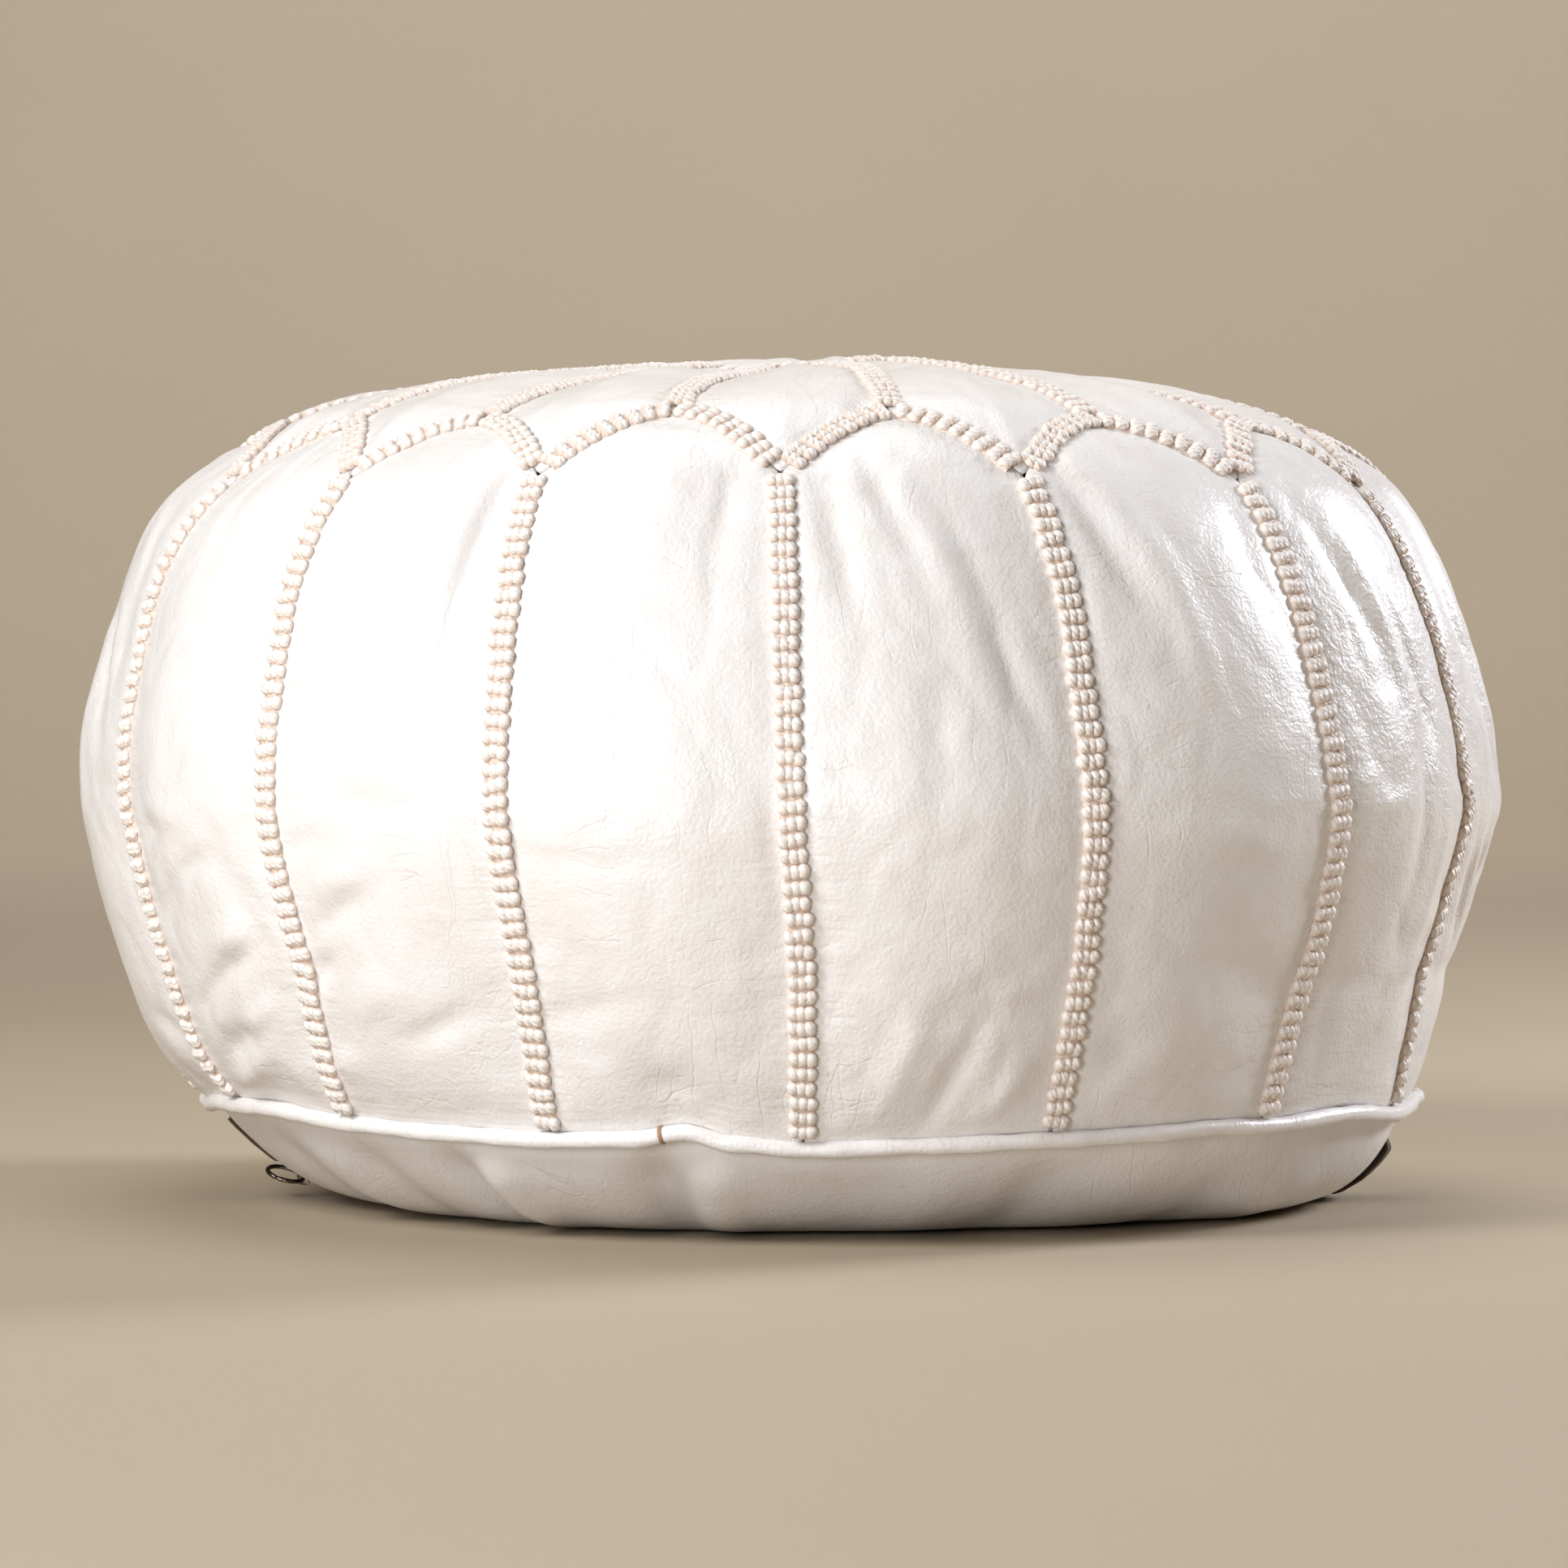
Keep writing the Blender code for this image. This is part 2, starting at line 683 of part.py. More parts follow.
def slider_body(carriage):
    """Two plates joined by a post between the coils, with lips that hold the coils in."""
    middle = -SLIDER_END + SLIDER_LENGTH / 2
    lip = COIL_OUTER + RUNNING_GAP
    half = lip + SLIDER_LIP
    post = COIL_GAP / 2 - RUNNING_GAP
    plate_top = SLIDER_FACE + SLIDER_PLATE
    lip_top = TAPE_BOTTOM - RUNNING_GAP
    inner_face = TAPE_TOP + RUNNING_GAP
    right_side = (
        (half, SLIDER_FACE),
        (half, lip_top),
        (lip, lip_top),
        (lip, plate_top),
        (post, plate_top),
        (post, inner_face),
        (half, inner_face),
        (half, SLIDER_TOP),
    )
    outline = [(middle, y, z) for y, z in right_side]
    outline += [(middle, -y, z) for y, z in reversed(right_side)]
    return extruded("slider_body", outline, (1, 0, 0), SLIDER_LENGTH, DARK_METAL, carriage)


def slider_bail(carriage):
    """The loop on the slider's face that the ring swings in."""
    hole_left = RING_HINGE_X - RING_WIRE - RUNNING_GAP
    hole_right = RING_HINGE_X + RING_WIRE + RUNNING_GAP + BAIL_PLAY
    top = SLIDER_FACE - PIECE_GAP
    bottom = BAIL_HOLE_BOTTOM - BAIL_BAR
    chamfer = BAIL_BAR * 0.8
    outline = (
        (hole_left - BAIL_BAR, top),
        (hole_left - BAIL_BAR, bottom + chamfer),
        (hole_left - BAIL_BAR + chamfer, bottom),
        (hole_right + BAIL_BAR - chamfer, bottom),
        (hole_right + BAIL_BAR, bottom + chamfer),
        (hole_right + BAIL_BAR, top),
        (hole_right, top),
        (hole_right, BAIL_HOLE_BOTTOM),
        (hole_left, BAIL_HOLE_BOTTOM),
        (hole_left, top),
    )
    points = [(x, 0.0, z) for x, z in outline]
    return extruded("slider_bail", points, (0, 1, 0), BAIL_WIDTH, DARK_METAL, carriage)


def pull_ring(carriage):
    """The ring, hinged in the bail about Y and resting along the slope of the rim."""
    shape = bmesh.new()
    angles = [2 * math.pi * k / RING_SIDES for k in range(RING_SIDES)]
    start = [
        shape.verts.new((RING_RADIUS + RING_WIRE * math.cos(a), 0.0, RING_WIRE * math.sin(a)))
        for a in angles
    ]
    edges = [shape.edges.new((a, b)) for a, b in zip(start, start[1:] + start[:1])]
    bmesh.ops.spin(
        shape,
        geom=[*start, *edges],
        cent=(0, 0, 0),
        axis=(0, 0, 1),
        angle=2 * math.pi,
        steps=RING_SEGMENTS,
        use_merge=True,
    )
    bmesh.ops.remove_doubles(shape, verts=shape.verts, dist=1e-6)
    bmesh.ops.recalc_face_normals(shape, faces=shape.faces)
    hinge = bpy.data.objects.new("ring_hinge", None)
    hinge.location = (RING_HINGE_X, 0.0, RING_HINGE_Z)
    hinge.parent = carriage
    bpy.context.scene.collection.objects.link(hinge)
    twist = Matrix.Rotation(RING_TWIST, 4, "X")
    out = Matrix.Translation((-RING_RADIUS, 0.0, 0.0))
    tilt = Matrix.Rotation(RING_TILT, 4, "Y")
    bmesh.ops.transform(shape, matrix=tilt @ twist @ out, verts=shape.verts)
    add_object("pull_ring", to_mesh("pull_ring", shape), DARK_METAL, hinge)


def zip_fastener():
    for name, side in (("front", -1), ("back", 1)):
        zip_tape(f"zip_tape_{name}", side)
        zip_coil(f"zip_coil_{name}", side)
    for name, side in (("left", -1), ("right", 1)):
        zip_stop(f"zip_stop_{name}", side)
    carriage = bpy.data.objects.new("slider_travel", None)
    bpy.context.scene.collection.objects.link(carriage)
    slider_body(carriage)
    slider_bail(carriage)
    pull_ring(carriage)


# ---------------------------------------------------------------- inside


def base_inset(share, inset):
    """(radius, height) inside the base's curve: share 0 is its flat edge, and 1 the piping."""
    slope = PIPING_HEIGHT / BASE_CURVE_SPAN * BASE_CURVE_POWER * share ** (BASE_CURVE_POWER - 1)
    radius = BASE_FLAT_RADIUS + BASE_CURVE_SPAN * share
    point = Vector((radius, turned_base_height(radius)))
    return point + Vector((-slope, 1.0)).normalized() * inset


def inset_line(inset, floor):
    """(radius, height) of a bag that far inside the cover, from its flat floor to the crown."""
    line = [base_inset(share, inset) for share in (0.5, 0.7, 0.85)]
    for share in (0.1, 0.2, 0.3, 0.4, 0.5, 0.6, 0.7, 0.82, 0.92):
        point, normal = outline_at(ALONG[-1] * share)
        line.append(point - normal * inset)
    return [Vector((p.x, max(p.y, floor))) for p in line]


def turned(name, line, finish, closed_top, closed_bottom):
    """A polyline of (radius, height) spun about Z, with its ends brought to the axis or left open."""
    shape = bmesh.new()
    points = [Vector((p.x, 0.0, p.y)) for p in line]
    if closed_top:
        points.append(Vector((0.0, 0.0, closed_top)))
    if closed_bottom is not None:
        points.insert(0, Vector((0.0, 0.0, closed_bottom)))
    verts = [shape.verts.new(p) for p in points]
    edges = [shape.edges.new((a, b)) for a, b in zip(verts, verts[1:])]
    bmesh.ops.spin(
        shape,
        geom=[*verts, *edges],
        cent=(0, 0, 0),
        axis=(0, 0, 1),
        angle=2 * math.pi,
        steps=TURNED_SEGMENTS,
    )
    bmesh.ops.remove_doubles(shape, verts=shape.verts, dist=1e-5)
    face_outwards(shape, INSIDE)
    return add_object(name, to_mesh(name, shape), finish)


def inner_bag():
    """Cotton bag with its filling mouth left open over the zip."""
    line = inset_line(BAG_INSET, BAG_FLOOR)
    line.insert(0, Vector((BAG_MOUTH_RADIUS, BAG_FLOOR)))
    bag = turned("inner_bag", line, COTTON, POUF_HEIGHT - BAG_INSET, None)
    thicken(bag, BAG_WALL)


def stuffing():
    inset = BAG_INSET + BAG_WALL + STUFFING_GAP
    floor = BAG_FLOOR + BAG_WALL + STUFFING_GAP
    line = inset_line(inset, floor)
    turned("stuffing", line, FILLING, POUF_HEIGHT - inset, floor)


# ---------------------------------------------------------------- assembly


def main():
    for old in list(bpy.data.objects):
        bpy.data.objects.remove(old)
    side_panels()
    crown_petals()
    crown_medallion()
    side_braid()
    crown_braid()
    piping()
    base_half("base_half_front", -1)
    base_half("base_half_back", 1)
    zip_fastener()
    inner_bag()
    stuffing()


main()
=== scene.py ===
"""Looks of the Moroccan leather pouf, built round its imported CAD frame.

Metres, +Z up, the floor at zero. The front seam faces -Y and the zip runs along X. Leather is laid
out by an angle round the pouf and by a distance along the hide from the piping to the crown.
"""

import json
import math

import bmesh
import bpy
import numpy as np
from mathutils import Matrix, Vector, noise


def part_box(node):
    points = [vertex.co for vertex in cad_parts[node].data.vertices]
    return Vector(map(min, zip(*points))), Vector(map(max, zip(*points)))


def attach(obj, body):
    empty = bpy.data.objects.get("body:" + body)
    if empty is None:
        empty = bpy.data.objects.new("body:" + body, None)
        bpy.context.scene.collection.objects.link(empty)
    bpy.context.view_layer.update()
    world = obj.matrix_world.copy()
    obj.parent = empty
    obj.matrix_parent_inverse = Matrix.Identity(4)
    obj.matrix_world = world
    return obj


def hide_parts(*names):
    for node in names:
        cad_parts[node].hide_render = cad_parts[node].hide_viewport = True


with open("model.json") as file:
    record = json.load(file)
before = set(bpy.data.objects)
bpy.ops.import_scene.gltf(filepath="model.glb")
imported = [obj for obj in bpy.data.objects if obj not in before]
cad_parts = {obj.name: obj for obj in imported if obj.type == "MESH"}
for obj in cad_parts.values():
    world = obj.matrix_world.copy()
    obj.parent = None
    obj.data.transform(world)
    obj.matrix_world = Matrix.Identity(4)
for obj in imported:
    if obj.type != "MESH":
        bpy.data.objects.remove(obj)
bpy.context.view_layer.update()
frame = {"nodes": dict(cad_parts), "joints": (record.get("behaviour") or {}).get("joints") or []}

# ---------------------------------------------------------------- sizes of the pouf

POUF_RADIUS = 0.275
POUF_HEIGHT = 0.326
EQUATOR_HEIGHT = 0.158
PANEL_COUNT = 16
PANEL_ANGLE = 2 * math.pi / PANEL_COUNT
FIRST_SEAM_ANGLE = -math.pi / 2
SHOULDER = (
    (1.0, 0.0),
    (0.985, 0.17),
    (0.942, 0.44),
    (0.902, 0.60),
    (0.847, 0.72),
    (0.757, 0.83),
    (0.62, 0.905),
    (0.42, 0.962),
    (0.2, 0.992),
    (0.0, 1.0),
)
SIDE_POWER = 1.4
PIPING_RADIUS = 0.236
PIPING_HEIGHT = 0.041
PIPING_PROUD = 0.0015
ROLL_RADIUS = 0.0032
HIDE_START = 0.0046
PANEL_FOOT = 0.0016
SIDE_SEAM_LENGTH = 0.246
SEAM_TOP = HIDE_START + SIDE_SEAM_LENGTH
ARCH_RISE = 0.037
ARCH_POWER = 1.7
MEDALLION_RADIUS = 0.062
LEATHER_WALL = 0.0016

# ---------------------------------------------------------------- small helpers


def clear_selection():
    if bpy.context.mode != "OBJECT":
        bpy.ops.object.mode_set(mode="OBJECT")
    bpy.ops.object.select_all(action="DESELECT")


def make_active(piece):
    clear_selection()
    piece.select_set(True)
    bpy.context.view_layer.objects.active = piece


def apply_modifier(piece, name):
    make_active(piece)
    bpy.ops.object.modifier_apply(modifier=name)


def pick(piece, test):
    """In edit mode, selects the vertices whose place passes the test, and what lies between."""
    shape = bmesh.from_edit_mesh(piece.data)
    for part in (*shape.verts, *shape.edges, *shape.faces):
        part.select = False
    for vert in shape.verts:
        vert.select = test(vert.co)
    shape.select_flush(True)
    bmesh.update_edit_mesh(piece.data)


def mesh_piece(name, points, faces, smooth=True):
    """A new object from points and faces, linked to the scene."""
    mesh = bpy.data.meshes.new(name)
    faces = faces.tolist() if isinstance(faces, np.ndarray) else faces
    mesh.from_pydata(np.asarray(points).tolist(), [], faces)
    mesh.validate()
    if smooth:
        mesh.shade_smooth()
    return linked(name, mesh)


def linked(name, data):
    made = bpy.data.objects.new(name, data)
    bpy.context.scene.collection.objects.link(made)
    return made


def grid_faces(rows, across):
    """Quads over a grid of points: that many rows of faces, with that many points across."""
    corner = np.arange(rows)[:, None] * across + np.arange(across - 1)
    quads = np.stack([corner, corner + 1, corner + across + 1, corner + across], -1)
    return quads.reshape(-1, 4)


def places_of(piece, field="co"):
    """The places of a piece's vertices, or their normals, as an array."""
    flat = np.empty(len(piece.data.vertices) * 3)
    piece.data.vertices.foreach_get(field, flat)
    return flat.reshape(-1, 3)


def merged(piece, distance):
    """Merges the vertices that lie on each other."""
    make_active(piece)
    bpy.ops.object.mode_set(mode="EDIT")
    bpy.ops.mesh.select_all(action="SELECT")
    bpy.ops.mesh.remove_doubles(threshold=distance)
    bpy.ops.object.mode_set(mode="OBJECT")


def bell(far, width):
    """1 at no distance, falling away on both sides over that width."""
    return np.exp(-((far / width) ** 2))


def settle(piece, body, finish, slot, *nodes):
    """Gives a finished piece its material and its body, and hides the CAD nodes that it stands
    for.
    """
    piece.data.materials.clear()
    piece.data.materials.append(finish)
    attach(piece, body)
    if nodes:
        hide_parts(*nodes)
    return piece


def place_in_mesh(piece):
    """Moves the object's place, turn and scale into its mesh."""
    make_active(piece)
    bpy.ops.object.transform_apply(location=True, rotation=True, scale=True)


def smoothstep(share):
    share = np.clip(share, 0.0, 1.0)
    return share * share * (3 - 2 * share)


def turn_difference(angle, other):
    """The shortest turn from one angle to another, in radians."""
    return (angle - other + math.pi) % (2 * math.pi) - math.pi


def front_angle(degrees):
    """The angle of a place that many degrees to the right of the front, or to the left of it."""
    return FIRST_SEAM_ANGLE + math.radians(degrees)


# ---------------------------------------------------------------- outline of the cover


def cover_outline():
    """Radius and height along the hide, from the piping to the crown."""
    drop = EQUATOR_HEIGHT - PIPING_HEIGHT
    share = 1 - np.linspace(0, 1, 60, endpoint=False)
    radius = POUF_RADIUS - (POUF_RADIUS - PIPING_RADIUS) * share**SIDE_POWER
    side = np.stack([radius, EQUATOR_HEIGHT - drop * share], 1)
    rise = POUF_HEIGHT - EQUATOR_HEIGHT
    knots = np.array([(r * POUF_RADIUS, EQUATOR_HEIGHT + h * rise) for r, h in SHOULDER])
    line = np.vstack([2 * knots[0] - knots[1], knots, 2 * knots[-1] - knots[-2]])
    crown = []
    for a, b, c, d in zip(line, line[1:], line[2:], line[3:]):
        t = np.linspace(0, 1, 24, endpoint=False)[:, None]
        tangents = (c - a) * t + (2 * a - 5 * b + 4 * c - d) * t**2
        crown.append(b + 0.5 * (tangents + (3 * b - a - 3 * c + d) * t**3))
    return np.vstack([side, *crown, knots[-1]])


OUTLINE = cover_outline()
STEPS = np.linalg.norm(np.diff(OUTLINE, axis=0), axis=1)
ALONG = np.concatenate([[0.0], np.cumsum(STEPS)])
CROWN_ALONG = ALONG[-1]
CROWN_FROM = 70


def outline_radius(along):
    return np.interp(along, ALONG, OUTLINE[:, 0])


def outline_height(along):
    return np.interp(along, ALONG, OUTLINE[:, 1])


def crown_along(radius):
    """Where the crown has that radius, along the hide."""
    return np.interp(-radius, -OUTLINE[CROWN_FROM:, 0], ALONG[CROWN_FROM:])


MEDALLION_ALONG = float(crown_along(MEDALLION_RADIUS))

# How far the piping ring rides up or down round the front, in degrees from it and metres
PIPING_WAVE = (
    (-180, 0.0),
    (-125, 0.001),
    (-104, -0.0024),
    (-84, -0.0028),
    (-70, 0.0010),
    (-56, 0.0022),
    (-44, -0.0004),
    (-33, -0.0016),
    (-22, -0.0024),
    (-14, -0.0014),
    (-9.2, 0.0014),
    (-5, -0.0026),
    (1, -0.0046),
    (11, -0.0036),
    (23, -0.0024),
    (33, -0.0016),
    (40, -0.0006),
    (47, -0.0014),
    (58, 0.0003),
    (74, -0.0034),
    (90, -0.0018),
    (110, 0.0015),
    (180, 0.0),
)
WAVE_ANGLES = np.radians([turn for turn, lift in PIPING_WAVE])
WAVE_LIFTS = np.array([lift for turn, lift in PIPING_WAVE])


def piping_wave(angle):
    """Lift of the piping at an angle, eased between the places where it is known."""
    turn = turn_difference(np.asarray(angle, float), FIRST_SEAM_ANGLE)
    i = np.clip(np.searchsorted(WAVE_ANGLES, turn) - 1, 0, len(WAVE_ANGLES) - 2)
    share = (turn - WAVE_ANGLES[i]) / (WAVE_ANGLES[i + 1] - WAVE_ANGLES[i])
    return WAVE_LIFTS[i] + (WAVE_LIFTS[i + 1] - WAVE_LIFTS[i]) * smoothstep(share)


# How far the hand-cut seams stray, in degrees: by seam from the front, and by place along the
# hide, from the foot of a seam up to its fork
STRAY_ALONGS = (0.005, 0.065, 0.13, 0.2, 0.25)
SEAM_STRAY = (
    (-8, 0.0, 0.0, 0.0, 0.0, 0.0),
    (-7, -0.5, 0.3, 0.0, -0.3, 0.8),
    (-6, 0.6, -0.4, 0.0, 0.4, -0.6),
    (-5, 0.4, 0.5, 0.0, 0.0, 0.9),
    (-4, 0.6, 0.5, 0.5, 0.0, 1.4),
    (-3, 3.0, 3.0, 1.6, 0.3, 3.2),
    (-2, 1.2, 3.0, 1.8, 0.5, 1.3),
    (-1, 1.0, 1.2, 0.4, -0.1, -0.3),
    (0, 1.0, 0.8, 0.0, -0.5, -1.0),
    (1, 0.5, 0.7, 0.5, -0.2, -1.9),
    (2, 1.2, 2.7, 1.3, 0.1, -1.1),
    (3, 4.2, 6.0, 3.0, -1.6, -3.4),
    (4, 1.5, 2.6, 1.2, -0.8, -0.6),
    (5, 0.7, 0.0, 0.3, 0.0, -0.8),
    (6, -0.4, 0.4, 0.0, -0.3, 0.9),
    (7, 0.5, 0.0, -0.3, 0.0, -0.5),
    (8, 0.0, 0.0, 0.0, 0.0, 0.0),
)
STRAY_TURNS = np.array([row[0] for row in SEAM_STRAY]) * PANEL_ANGLE
STRAY_COLUMNS = [np.radians([row[k + 1] for row in SEAM_STRAY]) for k in range(5)]


def stray(angle, along):
    """The turn that carries a place of the regular layout to where the hand-sewn one has it."""
    turn = turn_difference(angle, FIRST_SEAM_ANGLE)
    here = np.interp(turn, STRAY_TURNS, STRAY_COLUMNS[0])
    for k in range(4):
        share = np.clip((along - STRAY_ALONGS[k]) / (STRAY_ALONGS[k + 1] - STRAY_ALONGS[k]), 0, 1)
        step = np.interp(turn, STRAY_TURNS, STRAY_COLUMNS[k + 1] - STRAY_COLUMNS[k])
        here = here + step * share
    return here * (1 - smoothstep((along - CROWN_START) / (MEDALLION_ALONG - CROWN_START)))


# The slow unevenness of the stuffing: depth, waves round the pouf, their start, drift up the hide
LUMPS = ((0.0011, 3, 0.7, 9), (0.0009, 5, 2.1, -17), (0.0007, 11, 0.0, 31))
CROWN_SINK = 0.0045
CROWN_START = 0.31
LEFT_END_POWER = 2
RIGHT_END_POWER = 2.5

# The stuffing has settled: how far the cover stands out at its left and its right end, by place
# along the hide. Metres.
END_SHAPE = (
    (0.000, -0.0080, 0.0002),
    (0.008, -0.0036, -0.0022),
    (0.020, 0.0014, -0.0056),
    (0.052, 0.0018, -0.0128),
    (0.085, 0.0010, -0.0122),
    (0.117, 0.0002, -0.0096),
    (0.135, 0.0016, -0.0110),
    (0.150, 0.0026, -0.0103),
    (0.185, 0.0016, -0.0080),
    (0.212, 0.0014, -0.0082),
    (0.225, 0.0002, -0.0084),
    (0.250, -0.0030, -0.0076),
    (0.270, -0.0052, -0.0070),
    (0.292, -0.0044, -0.0084),
    (0.340, -0.0034, -0.0060),
    (0.380, -0.0024, -0.0024),
    (0.420, 0.0, 0.0),
)


def body_lumps(angle, along):
    """How far settled stuffing lets the cover stand out or in."""
    fade = smoothstep(along / 0.05) * smoothstep((CROWN_ALONG - along) / 0.08)
    lumps = 0.0
    for depth, waves, start, drift in LUMPS:
        lumps = lumps + depth * np.sin(waves * angle + start + drift * along)
    places, at_left, at_right = np.array(END_SHAPE).T
    to_left, to_right = np.maximum(-np.cos(angle), 0), np.maximum(np.cos(angle), 0)
    left = np.interp(along, places, at_left) * to_left**LEFT_END_POWER
    right = np.interp(along, places, at_right) * to_right**RIGHT_END_POWER
    crown = smoothstep((along - CROWN_START) / 0.1)
    return lumps * fade + left + right - CROWN_SINK * crown


# How far up the hide the piping's wave is felt, and how far a lift stays level there
WAVE_REACH = 0.09
LEVEL_REACH = 0.03
SLOPE_STEP = 0.0015


def on_cover(angle, along, lift=0.0):
    """Points on the cover, lifted off it, and its outward normals."""
    angle, along = np.broadcast_arrays(np.asarray(angle, float), np.asarray(along, float))
    near, far = along - SLOPE_STEP, along + SLOPE_STEP
    run = outline_radius(far) - outline_radius(near)
    climb = outline_height(far) - outline_height(near)
    length = np.maximum(np.hypot(run, climb), 1e-9)
    out, up = climb / length, -run / length
    lift = lift + body_lumps(angle, along)
    radius = outline_radius(along) + out * lift
    angle = angle + stray(angle, along)
    wave = piping_wave(angle) * (1 - smoothstep(along / WAVE_REACH))
    level = smoothstep(along / LEVEL_REACH)
    height = outline_height(along) + up * lift * level + wave
    points = np.stack([radius * np.cos(angle), radius * np.sin(angle), height], -1)
    normals = np.stack([out * np.cos(angle), out * np.sin(angle), up], -1)
    return points, normals


def arch_along(share):
    """Where the arch over a panel runs: 0 is the panel's middle, and 1 or -1 a seam."""
    return SEAM_TOP + ARCH_RISE * (1 - np.abs(share) ** ARCH_POWER)


# ---------------------------------------------------------------- materials


def linear(hex_colour):
    """A linear RGBA colour from an sRGB hex value."""
    parts = [int(hex_colour[i : i + 2], 16) / 255 for i in (1, 3, 5)]
    turned = [c / 12.92 if c <= 0.04045 else ((c + 0.055) / 1.055) ** 2.4 for c in parts]
    return (*turned, 1.0)


def add_node(tree, kind, inputs=None, out=0, **settings):
    """Adds a node with its settings and links, and returns one of its outputs.

    An input, by name or number, is a plain value or another node's output.
    """
    made = tree.nodes.new("ShaderNode" + kind)
    for name, value in settings.items():
        setattr(made, name, value)
    for name, value in (inputs or {}).items():
        if isinstance(value, bpy.types.NodeSocket):
            tree.links.new(value, made.inputs[name])
        else:
            made.inputs[name].default_value = value
    return made.outputs[out]


def new_finish(name, roughness, **constants):
    """An empty node tree with a Principled BSDF whose constant sockets are set."""
    finish = bpy.data.materials.new(name)
    finish.use_nodes = True
    tree = finish.node_tree
    tree.nodes.clear()
    light = add_node(tree, "BsdfPrincipled", {"Roughness": roughness})
    for socket, value in constants.items():
        light.node.inputs[socket.replace("_", " ")].default_value = value
    tree.links.new(light, tree.nodes.new("ShaderNodeOutputMaterial").inputs["Surface"])
    return finish, tree, light.node


def wired(finish, shader, **sockets):
    """Links outputs to the shader's sockets, and returns the finished material."""
    for name, output in sockets.items():
        finish.node_tree.links.new(output, shader.inputs[name.replace("_", " ")])
    return finish


def bump_chain(tree, *layers):
    """Bump nodes one after another; each layer is (height, depth in metres, strength)."""
    below = {}
    for height, depth, strength in layers:
        inputs = {"Height": height, "Distance": depth, "Strength": strength, **below}
        below = {"Normal": add_node(tree, "Bump", inputs)}
    return below["Normal"]


def crease_lines(tree, vector, scale, wander, width):
    """Thin wandering lines, 1 in a line and 0 beside it, from the borders of warped cells."""
    wobble = {"Vector": vector, "Scale": wander, "Detail": 3.0}
    wobble = add_node(tree, "TexNoise", wobble, "Color")
    centred = add_node(tree, "VectorMath", {0: wobble, 1: (0.5, 0.5, 0.5)}, operation="SUBTRACT")
    shift = {0: centred, 1: (0.012, 0.012, 0.0)}
    shift = add_node(tree, "VectorMath", shift, operation="MULTIPLY")
    warped = add_node(tree, "VectorMath", {0: vector, 1: shift}, operation="ADD")
    warped = add_node(tree, "Mapping", {"Vector": warped, "Scale": scale})
    cells = {"Vector": warped, "Scale": 1.0}
    cells = add_node(tree, "TexVoronoi", cells, "Distance", feature="DISTANCE_TO_EDGE")
    return add_node(tree, "MapRange", {0: cells, 1: 0.0, 2: width, 3: 1.0, 4: 0.0})


